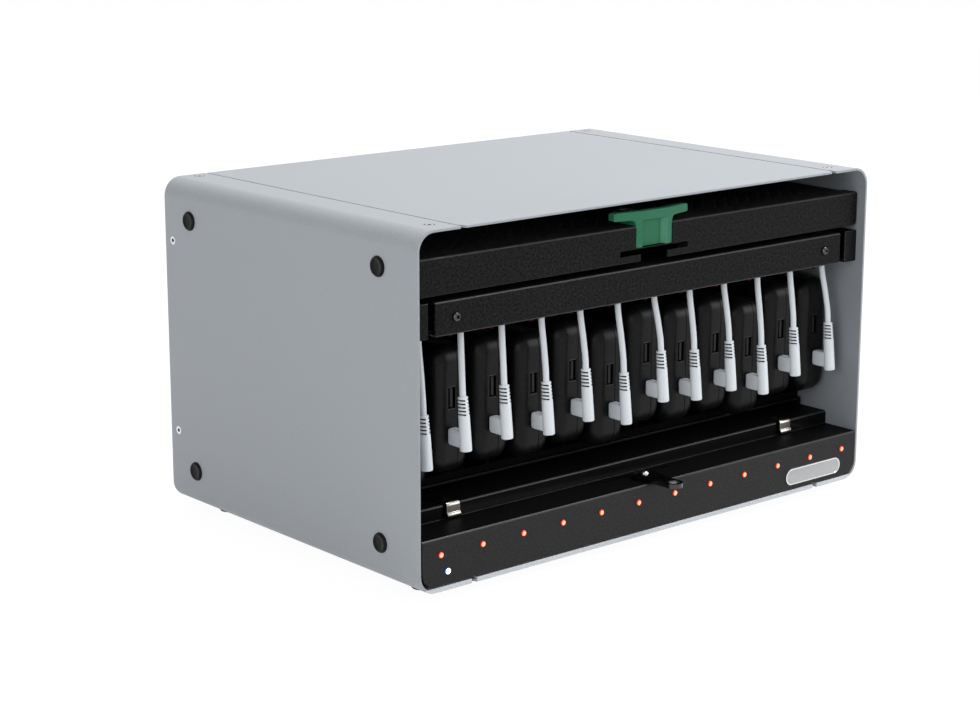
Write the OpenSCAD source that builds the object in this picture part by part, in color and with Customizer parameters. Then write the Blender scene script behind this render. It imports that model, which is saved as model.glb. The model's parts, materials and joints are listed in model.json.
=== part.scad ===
// Device charging cabinet: a sheet steel case open at the front, with twelve battery packs
// standing in a rack, twelve short charging leads, and a door that slides in under the roof.
// Millimetres, +Z up, front towards -Y, origin at the middle of the footprint on the ground.

/* [Case] */
// Outer width of the case
case_w = 400; // [392:2:460]
// Outer depth of the case
case_d = 270; // [264:2:330]
// Height of the case without its feet
case_h = 223; // [219:1:260]
// Thickness of the sheet steel
sheet_t = 1.5; // [1.2:0.1:1.8]
// Outside radius of the four long bends
bend_r = 12.5; // [10:0.5:15]
// Width of each side panel's fold over the roof
roof_fold = 33; // [28:1:44]
// Width of each side panel's fold under the floor
floor_fold = 41.5; // [34:0.5:50]
// Open seam between a fold and the panel beside it
seam = 1.4; // [0.6:0.1:1.8]
// Width of the joggled edge that lies behind a fold
joggle_w = 16; // [12:1:20]
// Height of the rubber feet
foot_h = 7; // [4:0.5:12]
// Diameter of the rubber feet
foot_dia = 17; // [12:1:22]
// Diameter of the side plugs' rims
plug_dia = 13; // [11:0.5:16]
// Distance of the side plugs from the front edge
plug_front = 37.5; // [30:0.5:44]
// Distance of the side plugs from the rear edge
plug_rear = 29.5; // [24:0.5:34]
// Distance of the side plugs from the case's top and bottom
plug_edge = 25.5; // [22:0.5:30]
// Shank diameter of the case screws
screw_dia = 4; // [3:0.5:5]

/* [Tray] */
// Height of the ledge above the case's underside
ledge_h = 34.2; // [31:0.2:40]
// Depth of the ledge
ledge_d = 28; // [26:0.5:32]
// Height of the step from the ledge to the deck
step_h = 9.2; // [8:0.2:12]
// Height of the status lamps above the case's underside
lamp_z = 23.5; // [18:0.5:26]
// Distance of the end status lamps from the inner faces of the side panels
lamp_margin = 15.3; // [14:0.1:18]
// Diameter of the status and power lamps
lamp_dia = 3.8; // [3:0.2:4.6]
// Width of the badge
badge_w = 56; // [40:1:70]
// Height of the badge
badge_h = 11.6; // [9:0.2:16]

/* [Catches and hasp] */
// Width of the two spring catches
catch_w = 11.4; // [8:0.2:16]
// Distance of each spring catch from the side of the case
catch_edge = 48; // [30:1:80]
// Thickness of the spring catches
catch_t = 0.8; // [0.5:0.1:1]
// Distance of the hasp's padlock eye in front of the case
eye_reach = 15.5; // [13:0.5:18]
// Bore of the padlock eye
eye_bore = 7.6; // [6:0.2:8.6]
// Thickness of the hasp
hasp_t = 3; // [2:0.2:4]

/* [Door] */
// Height of the door's handle edge
flange_h = 23.2; // [21:0.2:25]
// Distance of the stowed door's upper face below the top of the case
door_drop = 18; // [15:0.5:20]
// Length of the door from its handle edge to its far end
door_len = 180; // [165:1:190]
// Distance of the door's handle edge behind the front of the case
door_inset = 6.5; // [5:0.5:10]
// Travel of the door
door_travel = 155; // [130:5:160]
// Width of the green handle's grip
grip_w = 32.4; // [26:0.2:40]
// Width of the green handle's wing
wing_w = 66; // [48:1:80]

/* [Lead bar] */
// Height of the lead bar's front
bar_h = 21.4; // [19:0.2:23]
// Gap between the stowed door's handle edge and the lead bar
bar_gap = 4; // [3.4:0.2:6]
// Distance of the lead bar's ends from the inner faces of the side panels
bar_margin = 17.2; // [16:0.2:18]
// Distance of the end leads from the inner faces of the side panels
lead_margin = 17; // [16.4:0.2:17.6]
// Distance of the leads' row behind the front of the case
lead_row = 23; // [21:0.5:25]
// Diameter of the charging leads
lead_dia = 4; // [3:0.2:4.4]

/* [Battery packs] */
// Gap between the end packs and the side panels
pack_wall = 1.6; // [1.2:0.1:2.4]
// Gap between neighbouring packs
pack_gap = 4; // [3.8:0.2:7]
// Free height between a pack put fully down and the lead bar
head_room = 21; // [19:0.5:32]
// Length of a battery pack
pack_l = 150; // [120:1:160]
// Distance of the packs' front faces behind the front of the case
pack_face = 27.8; // [26:0.2:30]
// Height of the rack's pads above the case's underside
rack_h = 53.5; // [52.5:0.5:56]

/* [Hidden] */
$fn = 48;
eps = 0.01;
slide_gap = 0.3;

// The padlock eye is the only thing that reaches past the case, so half of its reach moves the
// case back and keeps the origin in the middle of the footprint.
eye_r = eye_bore / 2 + 2.2;
front = -case_d / 2 + (eye_reach + eye_r) / 2;
rear = front + case_d;
half_w = case_w / 2;
inner_w = half_w - sheet_t;
under = foot_h;
top = under + case_h;
floor_z = under + 2 * sheet_t;
roof_z = top - 2 * sheet_t;
roof_edge = half_w - roof_fold - seam;
floor_edge = half_w - floor_fold - seam;
ledge_z = under + ledge_h;
deck_z = ledge_z + step_h;
step_y = front + ledge_d;
bays = 12;
bay_pitch = (2 * (inner_w - pack_wall) + pack_gap) / bays;
lead_pitch = 2 * (inner_w - lead_margin) / (bays - 1);
pack_t = bay_pitch - pack_gap;
function bay_x(i) = (i - (bays + 1) / 2) * bay_pitch;
function lead_x(i) = (i - (bays + 1) / 2) * lead_pitch;

// Each pack sits a little apart from its neighbours' line, sideways and in height, and each plug a
// little apart from its pack's middle
pack_dx = [0.6, -0.6, -0.6, 0.3, 0.6, 0.6, 0.6, -0.2, 0, -0.6, -0.6, 0.5];
plug_dx = [-1.3, -2.4, -2.2, -1.3, -0.8, -0.1, 0.4, -0.8, -0.6, -0.9, -1.7, 0.1];
pack_dz = [1.5, 8, 10, 6.5, 9.5, 1.5, 11, 7, 8, 0.3, 8, 6.5];
function pack_x(i) = bay_x(i) + pack_dx[i - 1];
function pack_z(i) = under + rack_h + pack_dz[i - 1];
pack_y = front + pack_face;
door_z = top - door_drop;
flange_z = door_z - flange_h;
bar_top = flange_z - bar_gap;
bar_lo = bar_top - bar_h;
bar_w = 2 * (inner_w - bar_margin);
pack_h = bar_lo - head_room - under - rack_h;

// Points of an outline whose corners are rounded, each given as [x, y, radius]
function unit(v) = v / norm(v);
function corner(a, b, c, r, n) =
    r <= 0 ? [b] :
    let (u = unit(a - b), w = unit(c - b),
         half = acos(max(-1, min(1, u * w))) / 2,
         m = b + unit(u + w) * r / sin(half),
         p = b + u * r / tan(half) - m,
         q = b + w * r / tan(half) - m,
         s0 = atan2(p[1], p[0]), s1 = atan2(q[1], q[0]),
         turn = s1 - s0 > 180 ? s1 - s0 - 360 : s1 - s0 < -180 ? s1 - s0 + 360 : s1 - s0)
    [for (k = [0:n]) m + r * [cos(s0 + turn * k / n), sin(s0 + turn * k / n)]];
function rounded(pts, n = 5) =
    [for (i = [0:len(pts) - 1])
        let (a = pts[(i + len(pts) - 1) % len(pts)], b = pts[i], c = pts[(i + 1) % len(pts)])
        each corner([a[0], a[1]], [b[0], b[1]], [c[0], c[1]], b[2], n)];

module block(a, b) { translate(a) cube(b - a); }

// A YZ outline drawn as [y, z] and drawn out along X between two places
module across(x0, x1) {
    translate([x0, 0, 0]) rotate([90, 0, 90]) linear_extrude(x1 - x0) children();
}

// An XZ outline drawn as [x, z] and drawn out along Y between two places
module along(y0, y1) {
    translate([0, y1, 0]) rotate([90, 0, 0]) linear_extrude(y1 - y0) children();
}

module bore_x(x0, x1, y, z, d) { translate([x0, y, z]) rotate([0, 90, 0]) cylinder(h = x1 - x0, d = d); }
module bore_y(y0, y1, x, z, d) { translate([x, y1, z]) rotate([90, 0, 0]) cylinder(h = y1 - y0, d = d); }
module bore_z(z0, z1, x, y, d) { translate([x, y, z0]) cylinder(h = z1 - z0, d = d); }

// The waste outside the round of radius r at a lower corner, where x tells the side
module corner_waste(x, z, r) {
    s = sign(x);
    difference() {
        translate([x - (s > 0 ? r : 1), z - 1]) square([r + 1, r + 1]);
        translate([x - s * r, z + r]) circle(r);
    }
}

module round_rect(x0, y0, x1, y1, r) {
    polygon(rounded([[x0, y0, r], [x1, y0, r], [x1, y1, r], [x0, y1, r]], 8));
}

// Case

roof_head = screw_dia * 1.9;
side_head = screw_dia * 1.6;
roof_screw_x = half_w - 23;
roof_screw_y = [front + 17, rear - 8];
side_screw_y = rear - 8.3;
side_screw_z = [under + 50, top - 41.4];
plug_y = [front + plug_front, rear - plug_rear];
plug_z = [under + plug_edge, top - plug_edge];
foot_x = half_w - 27;
floor_joggle = half_w - bend_r - 0.5 - floor_edge;
foot_y = [front + 30, rear - 29];
hem_d = 8;
joggle_cut = 3;
plug_hole = plug_dia - 4;

module case_ring() {
    difference() {
        union() {
            translate([-half_w, under + bend_r]) square([case_w, case_h - 2 * bend_r]);
            translate([-half_w + bend_r, under]) square([case_w - 2 * bend_r, case_h]);
            for (x = [-1, 1], z = [under + bend_r, top - bend_r])
                translate([x * (half_w - bend_r), z]) circle(bend_r);
        }
        translate([-inner_w, under + bend_r]) square([2 * inner_w, case_h - 2 * bend_r]);
        translate([-half_w + bend_r, under + sheet_t])
            square([case_w - 2 * bend_r, case_h - 2 * sheet_t]);
        for (x = [-1, 1], z = [under + bend_r, top - bend_r])
            translate([x * (half_w - bend_r), z]) circle(bend_r - sheet_t);
    }
}

module left_panel_outline() {
    intersection() {
        case_ring();
        union() {
            translate([-half_w, under + case_h / 2]) square([roof_fold, case_h / 2]);
            translate([-half_w, under]) square([floor_fold, case_h / 2]);
        }
    }
}

module side_panel() {
    color("#9aa0a5") difference() {
        union() {
            along(front, rear) left_panel_outline();
            hem(-half_w + bend_r - 6, -half_w + floor_fold);
        }
        for (y = plug_y, z = plug_z) bore_x(-half_w - 1, -inner_w + 1, y, z, plug_hole);
        for (z = side_screw_z) {
            bore_x(-half_w - 1, -inner_w + 1, side_screw_y, z, screw_dia + 0.3);
            countersink(-half_w, z);
        }
        for (y = roof_screw_y) roof_countersink(y);
        for (y = foot_y) bore_z(under - 1, under + 2 * sheet_t, -foot_x, y, screw_dia + 0.3);
    }
}

// The sheet under the case is turned back on itself along its front edge
module hem(x0, x1) {
    block([x0, front, under + sheet_t - eps], [x1, front + hem_d, under + 2 * sheet_t]);
}

module countersink(x, z) {
    translate([x - eps, side_screw_y, z]) rotate([0, 90, 0])
        cylinder(h = sheet_t * 0.8, d1 = side_head + 0.2, d2 = screw_dia + 0.3);
}

module roof_countersink(y) {
    bore_z(top - sheet_t - 1, top + 1, -roof_screw_x, y, screw_dia + 0.3);
    translate([-roof_screw_x, y, top - sheet_t * 0.8 + eps])
        cylinder(h = sheet_t * 0.8, d1 = screw_dia + 0.3, d2 = roof_head + 0.2);
}

module left_side_panel() { side_panel(); }
module right_side_panel() { mirror([1, 0, 0]) side_panel(); }

// A plate with a joggled edge on both sides, reaching behind the folds; its outer face is at face_z
// and dir is 1 where it looks up
module joggled_plate(face_z, edge, dir, reach, screw_x, screw_y) {
    z0 = dir > 0 ? face_z - sheet_t : face_z;
    step_z = dir > 0 ? face_z - 2 * sheet_t : face_z + sheet_t;
    cut_y = 6;
    difference() {
        union() {
            translate([0, 0, z0]) linear_extrude(sheet_t) polygon([
                [-edge + joggle_cut, front], [edge - joggle_cut, front], [edge, front + cut_y],
                [edge, rear], [-edge, rear], [-edge, front + cut_y]]);
            for (s = [-1, 1]) {
                x0 = s * (edge - 5);
                x1 = s * (edge + reach);
                block([min(x0, x1), front + 10, step_z], [max(x0, x1), rear - 4, step_z + sheet_t]);
            }
        }
        for (s = [-1, 1], y = screw_y)
            bore_z(step_z - 1, step_z + sheet_t + 1, s * screw_x, y, screw_dia - 0.6);
    }
}

module roof_panel() {
    color("#c8cdd2") joggled_plate(top, roof_edge, 1, joggle_w, roof_screw_x, roof_screw_y);
}

module floor_panel() {
    color("#8e9499") union() {
        joggled_plate(under, floor_edge, -1, floor_joggle, foot_x, foot_y);
        hem(-floor_edge + joggle_cut, floor_edge - joggle_cut);
    }
}

vent_w = 3;
vent_l = 40;
inlet_x = -half_w + 50;
inlet_z = under + 28;
inlet_size = [27.4, 19.8];
switch_x = inlet_x + 40;
switch_size = [12.8, 19.2];

module rear_panel() {
    z0 = floor_z + slide_gap;
    z1 = roof_z - slide_gap;
    y0 = rear - 1 - sheet_t;
    color("#8e9499") difference() {
        union() {
            along(y0, y0 + sheet_t)
                round_rect(-inner_w, z0, inner_w, z1, max(bend_r - 2 * sheet_t, 1));
            for (s = [-1, 1]) {
                x0 = s * (inner_w - sheet_t);
                x1 = s * inner_w;
                block([min(x0, x1), rear - 17, under + bend_r + 4],
                      [max(x0, x1), y0 + sheet_t, top - bend_r - 4]);
            }
        }
        for (i = [-7:7]) translate([i * 18, 0, 0])
            block([-vent_w / 2, y0 - 1, under + 110], [vent_w / 2, rear, under + 110 + vent_l]);
        for (s = [-1, 1], z = side_screw_z)
            bore_x(s * half_w - 6, s * half_w + 6, side_screw_y, z, screw_dia - 0.6);
        block([inlet_x - inlet_size[0] / 2, y0 - 1, inlet_z - inlet_size[1] / 2],
              [inlet_x + inlet_size[0] / 2, rear, inlet_z + inlet_size[1] / 2]);
        block([switch_x - switch_size[0] / 2, y0 - 1, inlet_z - switch_size[1] / 2],
              [switch_x + switch_size[0] / 2, rear, inlet_z + switch_size[1] / 2]);
    }
}

// A countersunk screw along +Z with its flat head, of diameter head, at the origin
module flat_screw(len, head) {
    head_h = sheet_t * 0.8;
    difference() {
        union() {
            translate([0, 0, -head_h]) cylinder(h = head_h, d1 = screw_dia - 0.8, d2 = head);
            translate([0, 0, -len]) cylinder(h = len - head_h / 2, d = screw_dia - 0.8);
        }
        translate([0, 0, -head_h * 0.7]) cylinder(h = head_h, d = screw_dia * 0.62);
    }
}

module roof_screws() {
    color("#d9dbdd") for (s = [-1, 1], y = roof_screw_y)
        translate([s * roof_screw_x, y, top]) flat_screw(3.4, roof_head);
}

module side_screws() {
    color("#d9dbdd") for (s = [-1, 1], z = side_screw_z)
        translate([s * half_w, side_screw_y, z]) rotate([0, s * 90, 0]) flat_screw(5, side_head);
}

module side_plug() {
    rim = 1.8;
    rotate([0, -90, 0]) {
        cylinder(h = rim * 0.6, d = plug_dia);
        translate([0, 0, rim * 0.6]) cylinder(h = rim * 0.4, d1 = plug_dia, d2 = plug_dia - 1.6);
        translate([0, 0, -sheet_t - 1.1]) cylinder(h = sheet_t + 1.1, d = plug_hole - 0.2);
        translate([0, 0, -sheet_t - 1.1]) cylinder(h = 0.9, d = plug_hole + 1);
    }
}

module side_plugs() {
    color("#1c1d1f") for (s = [0, 1], y = plug_y, z = plug_z)
        mirror([s, 0, 0]) translate([-half_w, y, z]) side_plug();
}

module rubber_feet() {
    color("#17181a") for (s = [-1, 1], y = foot_y) translate([s * foot_x, y, 0]) {
        cylinder(h = foot_h * 0.35, d1 = foot_dia - 3, d2 = foot_dia);
        translate([0, 0, foot_h * 0.35]) cylinder(h = foot_h * 0.65, d = foot_dia);
        translate([0, 0, foot_h]) cylinder(h = 3 * sheet_t, d = screw_dia - 1);
    }
}

// Front tray

tray_w = inner_w - 0.5;
lamp_pitch = 2 * (inner_w - lamp_margin) / (bays - 1);
lamp_xs = [for (i = [1:bays]) (i - (bays + 1) / 2) * lamp_pitch];
power_x = -half_w + 22.2;
power_z = under + 12.2;
badge_x = half_w - 46.6;
badge_z = under + 12.7;
slot_y = front + 22.5;
slot_x = 1.5;
slot_size = [62, 3];
hasp_y = front + 11.5;
fascia_z = under + 2 * sheet_t + 1;
tray_rear = rear - 22;

module tray_outline() {
    z0 = fascia_z;
    ro = 1.7;
    ri = 0.3;
    polygon(rounded([
        [front, z0, 0.4], [front, ledge_z, ro], [step_y, ledge_z, ri], [step_y, deck_z, ro],
        [tray_rear, deck_z, 0.3], [tray_rear, deck_z - sheet_t, 0.3],
        [step_y + sheet_t, deck_z - sheet_t, ri], [step_y + sheet_t, ledge_z - sheet_t, ro],
        [front + sheet_t, ledge_z - sheet_t, ri], [front + sheet_t, z0, 0.4]], 4));
}

module front_tray() {
    trim = 0.6;
    corner_r = bend_r - sheet_t - 0.5 - trim;
    gap_w = catch_w + 1;
    color("#2b2c2e") difference() {
        across(-tray_w, tray_w) tray_outline();
        for (s = [-1, 1]) difference() {
            x0 = s * (tray_w - trim - corner_r);
            x1 = s * (tray_w + 1);
            block([min(x0, x1), front - 1, under], [max(x0, x1), front + 4, fascia_z + corner_r]);
            bore_y(front - 2, front + 5, x0, fascia_z + corner_r, 2 * corner_r);
        }
        for (s = [-1, 1]) {
            x0 = s * (tray_w - trim);
            x1 = s * (tray_w + 1);
            block([min(x0, x1), front - 1, under], [max(x0, x1), front + 4, ledge_z + 1]);
        }
        for (x = lamp_xs) bore_y(front - 1, front + 4, x, under + lamp_z, lamp_dia + 0.2);
        bore_y(front - 1, front + 4, power_x, power_z, lamp_dia + 0.2);
        for (s = [-1, 1]) block([s * catch_x - gap_w / 2, step_y - 1, ledge_z + 0.8],
                                [s * catch_x + gap_w / 2, fold_y, deck_z + 1]);
        block([slot_x - slot_size[0] / 2, slot_y - slot_size[1] / 2, ledge_z - 4],
              [slot_x + slot_size[0] / 2, slot_y + slot_size[1] / 2, ledge_z + 1]);
        bore_z(ledge_z - 4, ledge_z + 1, 0, hasp_y, hasp_screw_dia + 0.2);
        for (s = [-1, 1]) bore_z(deck_z - 4, deck_z + 1, s * catch_x, rivet_y, 2.6);
    }
}

module lamp(x, z) {
    translate([x, 0, z]) {
        bore_y(front - 0.2, lamp_board_y, 0, 0, lamp_dia);
        bore_y(front + sheet_t + 0.3, front + sheet_t + 1.2, 0, 0, lamp_dia + 1);
    }
}

lamp_board_y = front + 8;
nut_z = ledge_z - 7;

module status_lamps() { color("#e0452c") for (x = lamp_xs) lamp(x, under + lamp_z); }
module power_lamp() { color("#dfe9ff") lamp(power_x, power_z); }

// The lamp board stands behind the lamps on four posts from the tray's face
module lamp_board() {
    color("#1f5f3a") difference() {
        union() {
            block([-tray_w + 8, lamp_board_y, under + 6], [tray_w - 8, lamp_board_y + 1.6, nut_z - 0.6]);
            for (x = [-1.5, -0.5, 0.5, 1.5])
                bore_y(front + sheet_t, lamp_board_y + eps, x * 3 * bay_pitch, under + 15, 5);
        }
        for (x = [-1.5, -0.5, 0.5, 1.5])
            bore_y(front + sheet_t - 1, lamp_board_y + 4, x * 3 * bay_pitch, under + 15, 2.4);
    }
}

module badge_plate() {
    color("#d5d8da") difference() {
        along(front - 1.2, front)
            round_rect(badge_x - badge_w / 2, badge_z - badge_h / 2,
                       badge_x + badge_w / 2, badge_z + badge_h / 2, badge_h / 2 - 0.01);
        along(front - 2, front - 0.8)
            round_rect(badge_x - badge_w / 2 + 0.8, badge_z - badge_h / 2 + 0.8,
                       badge_x + badge_w / 2 - 0.8, badge_z + badge_h / 2 - 0.8, badge_h / 2 - 0.81);
    }
}

// Spring catches: the riveted foot lies on the deck and the strip turns a little about its fold

catch_x = half_w - catch_edge;
rivet_y = step_y + 8;
fold_y = step_y + 1.8;

module catch_outline() {
    y0 = step_y;
    z0 = ledge_z;
    t = catch_t;
    polygon(rounded([
        [fold_y, deck_z + t, 0], [y0 + 0.4, deck_z + t, 0.9], [y0 + 0.1, z0 + 4.2, 0.8],
        [y0 - 2.5, z0 + 3.1, 0.8], [y0 - 2.2, z0 + 1.2, 0.3], [y0 - 2.2 + t, z0 + 1.2, 0.3],
        [y0 - 2.5 + t, z0 + 2.6, 0.3], [y0 + 0.1 + t, z0 + 3.7, 0.3],
        [y0 + 0.4 + t, deck_z, 0.2], [fold_y, deck_z, 0]], 3));
}

module catch_strip(x) {
    color("#c9c6c0") across(x - catch_w / 2, x + catch_w / 2) catch_outline();
}

module left_catch() { catch_strip(-catch_x); }
module right_catch() { catch_strip(catch_x); }

// The riveted feet that hold the strips' folds down on the deck
module catch_rivets() {
    color("#b9b6b0") for (s = [-1, 1]) {
        difference() {
            block([s * catch_x - catch_w / 2, fold_y + 0.2, deck_z],
                  [s * catch_x + catch_w / 2, rivet_y + 4, deck_z + catch_t]);
            bore_z(deck_z - 1, deck_z + catch_t + 1, s * catch_x, rivet_y, 2.4);
        }
        bore_z(deck_z - sheet_t, deck_z + catch_t + 0.2, s * catch_x, rivet_y, 2.4);
        bore_z(deck_z + catch_t, deck_z + catch_t + 0.9, s * catch_x, rivet_y, 4.4);
        bore_z(deck_z - sheet_t - 0.8, deck_z - sheet_t, s * catch_x, rivet_y, 4.4);
    }
}

// Hasp: a swivel tongue with a padlock eye, turning about one screw in the ledge

hasp_screw_dia = 4;
washer_t = 0.5;
hasp_z = ledge_z + washer_t;
boss_r = 8.2;

module hasp_tongue() {
    eye_y = front - eye_reach;
    neck = eye_r - 0.6;
    color("#1d1e20") translate([0, 0, hasp_z]) difference() {
        union() {
            translate([0, hasp_y, 0]) cylinder(h = hasp_t, r = boss_r);
            translate([0, eye_y, 0]) cylinder(h = hasp_t, r = eye_r);
            linear_extrude(hasp_t) polygon([[-neck, eye_y], [neck, eye_y],
                [boss_r - 0.8, hasp_y - 3], [-boss_r + 0.8, hasp_y - 3]]);
        }
        translate([0, hasp_y, -1]) cylinder(h = hasp_t + 2, d = hasp_screw_dia + 0.16);
        translate([0, eye_y, -1]) cylinder(h = hasp_t + 2, d = eye_bore);
    }
}

module hasp_screw() {
    head_z = hasp_z + hasp_t + 0.2;
    color("#d9dbdd") translate([0, hasp_y, 0]) {
        translate([0, 0, nut_z]) cylinder(h = head_z - nut_z, d = hasp_screw_dia);
        translate([0, 0, head_z]) cylinder(h = 0.7, d = 6);
        translate([0, 0, head_z + 0.7]) cylinder(h = 1, d1 = 6, d2 = 3);
        translate([0, 0, ledge_z - sheet_t - 3.2]) cylinder(h = 3.2, d = 7);
    }
}

module hasp_washer() {
    color("#e8e6df") translate([0, hasp_y, ledge_z]) difference() {
        cylinder(h = washer_t - 0.1, d = 12);
        translate([0, 0, -1]) cylinder(h = 3, d = hasp_screw_dia + 0.2);
    }
}

// Door, stowed under the roof with its handle edge hanging down at the front

door_y = front + door_inset;
flange_w = inner_w - 1.2;
plate_w = inner_w - 5.5;
rail_w = plate_w - 5;
runner_z = door_z - 8;
runner_dia = 7;
runner_y = door_y + door_len - 12;
t_slot = [60.6, 3.8];
t_slot_z = flange_z + 4.4;
notch_w = 24;
vent_pitch = 10.8;
vent_row = 5.3;
vent_dia = 2.6;
vent_cols = 31;

module flange_outline() {
    polygon(rounded([
        [door_y, flange_z, 0.4], [door_y, door_z, 1.8], [door_y + 12, door_z, 0],
        [door_y + 12, door_z - sheet_t, 0], [door_y + sheet_t, door_z - sheet_t, 0.3],
        [door_y + sheet_t, flange_z, 0.4]], 4));
}

module door_panel() {
    color("#232426") difference() {
        union() {
            across(-flange_w, flange_w) flange_outline();
            block([-plate_w, door_y + 11, door_z - sheet_t], [plate_w, door_y + door_len, door_z]);
            for (s = [-1, 1]) {
                x0 = s * rail_w;
                x1 = s * (rail_w - sheet_t);
                block([min(x0, x1), door_y + 14, door_z - 13],
                      [max(x0, x1), door_y + door_len, door_z - sheet_t / 2]);
            }
        }
        block([-t_slot[0] / 2, door_y - 1, t_slot_z], [t_slot[0] / 2, door_y + 3, t_slot_z + t_slot[1]]);
        block([-notch_w / 2, door_y - 1, flange_z - 1], [notch_w / 2, door_y + 3, t_slot_z + 1]);
        along(door_y - 1, door_y + grip_t + 0.4) handle_pocket();
        for (s = [-1, 1]) along(door_y - 1, door_y + 8) corner_waste(s * flange_w, flange_z, 3);
        for (r = [0:4], c = [0:vent_cols - 1 + r % 2]) {
            x = (c - (vent_cols - 1 + r % 2) / 2) * vent_pitch;
            y = door_y + 20 + r * vent_row;
            if (norm([x, y - lock_y]) > lock_dia / 2 + 6) bore_z(door_z - 3, door_z + 1, x, y, vent_dia);
        }
        for (s = [-1, 1]) bore_x(s * rail_w - 4, s * rail_w + 4, runner_y, runner_z, 3.2);
        for (x = handle_screw_x) bore_z(door_z - 3, door_z + 1, x, handle_screw_y, 2.8);
        bore_z(door_z - 3, door_z + 1, 0, lock_y, lock_dia + 0.2);
    }
}

handle_screw_x = [-11, 11];
handle_screw_y = door_y + 9.5;
grip_t = 5;
grip_rib = 5;
hollow_d = 3.6;
hollow_slope = 2.8;
grip_y = door_y - 0.3;
grip_z = t_slot_z + t_slot[1] + 0.8;
wing_top = door_z + 9.2;
wing_t = 5.6;
wing_flat = 11;
wing_sweep = 4;

// The opening in the door's handle edge that the grip fills
module handle_pocket() {
    g = grip_w / 2 + 0.15;
    translate([-g, grip_z - 0.15]) square([2 * g, door_z + 1 - grip_z]);
}

// The handle from the front: a grip that flares on both sides into a wing above the door
module handle_front() {
    g = grip_w / 2;
    w = wing_w / 2;
    z1 = wing_top - wing_t;
    polygon(rounded([
        [-g, grip_z, 0.6], [g, grip_z, 0.6], [g, z1, 3.2], [w, z1 + 0.4, 1.2], [w, wing_top, 1.8],
        [-w, wing_top, 1.8], [-w, z1 + 0.4, 1.2], [-g, z1, 3.2]], 6));
}

// The handle from above: flat in the middle, with both ends swept back
module handle_plan() {
    w = wing_w / 2 + 1;
    polygon([[-w, grip_y + wing_sweep], [-wing_flat, grip_y], [wing_flat, grip_y],
             [w, grip_y + wing_sweep], [w, grip_y + wing_sweep + grip_t],
             [wing_flat, grip_y + grip_t], [-wing_flat, grip_y + grip_t],
             [-w, grip_y + wing_sweep + grip_t]]);
}

// The grip's hollow is open at the bottom, and its sides and top slope in; half_x is its half width
module grip_hollow(half_x) {
    y0 = grip_y - 1;
    y1 = grip_y + hollow_d;
    z0 = grip_z - 4;
    z1 = wing_top - wing_t - 0.4;
    k = hollow_slope / hollow_d;
    intersection() {
        translate([0, 0, z0]) linear_extrude(z1 + 2 - z0) polygon([
            [-half_x - k, y0], [half_x + k, y0],
            [half_x - hollow_slope, y1], [-half_x + hollow_slope, y1]]);
        across(-half_x - 2, half_x + 2) polygon([
            [y0, z0], [y0, z1 + k / 2], [y1, z1 - hollow_slope / 2], [y1, z0]]);
    }
}

module door_handle() {
    g = grip_w / 2;
    color("#3c8a62") difference() {
        union() {
            intersection() {
                along(grip_y - 1, grip_y + 10) handle_front();
                linear_extrude(wing_top + 1) handle_plan();
            }
            block([-g, door_y + 1, door_z], [g, door_y + 15, door_z + 2.4]);
        }
        grip_hollow(g - grip_rib);
        for (x = handle_screw_x) bore_z(door_z - 1, door_z + 4, x, handle_screw_y, 3.2);
    }
}

module handle_screws() {
    color("#303133") for (x = handle_screw_x) translate([x, handle_screw_y, 0]) {
        translate([0, 0, door_z - sheet_t - 2.4]) cylinder(h = sheet_t + 4.8, d = 2.6);
        translate([0, 0, door_z + 2.4]) cylinder(h = 1.4, d1 = 5.4, d2 = 4);
        translate([0, 0, door_z - sheet_t - 2]) cylinder(h = 2, d = 5.5, $fn = 6);
    }
}

// Nylon runners at the door's far corners; they slide in the tracks
module door_runners() {
    track_in = inner_w - 1.5;
    color("#dedfe0") for (s = [0, 1]) mirror([s, 0, 0]) {
        bore_x(rail_w - sheet_t - 2, track_in - 0.6, runner_y, runner_z, 3);
        bore_x(rail_w + 0.3, track_in - 1, runner_y, runner_z, runner_dia);
        bore_x(rail_w - sheet_t - 1.6, rail_w - sheet_t, runner_y, runner_z, 5.6);
    }
}

// Cam lock in the door's face, behind the handle
lock_y = door_y + 27;
lock_dia = 16;
plug_core = 9;

module lock_body() {
    color("#2e2f31") translate([0, lock_y, 0]) difference() {
        union() {
            translate([0, 0, door_z - 10]) cylinder(h = 10, d = lock_dia);
            translate([0, 0, door_z]) cylinder(h = 2, d = lock_dia + 4);
            translate([0, 0, door_z + 2]) cylinder(h = 3.4, d1 = lock_dia + 4, d2 = lock_dia - 3);
        }
        translate([0, 0, door_z - 12]) cylinder(h = 20, d = plug_core + 0.16);
    }
}

module lock_cylinder() {
    z0 = door_z - 10.3;
    color("#b8babd") translate([0, lock_y, 0]) difference() {
        union() {
            translate([0, 0, z0]) cylinder(h = door_z + 5.2 - z0, d = plug_core);
            translate([0, 0, z0 - 1.6]) cylinder(h = 1.6, d = 12);
            translate([-4, 0, z0 - 1.6]) cube([8, 20, 1.6]);
        }
        translate([-0.6, -3, door_z + 3]) cube([1.2, 6, 3]);
    }
}

// Door tracks on the side walls

track_y0 = door_y + sheet_t + 2.5;
track_y1 = runner_y + runner_dia;
lip_gap = runner_dia + 0.7;
track_x0 = rail_w + 0.8;
front_stop = runner_y - door_travel - runner_dia / 2 - slide_gap;
rear_stop = runner_y + runner_dia / 2 + slide_gap;

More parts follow.
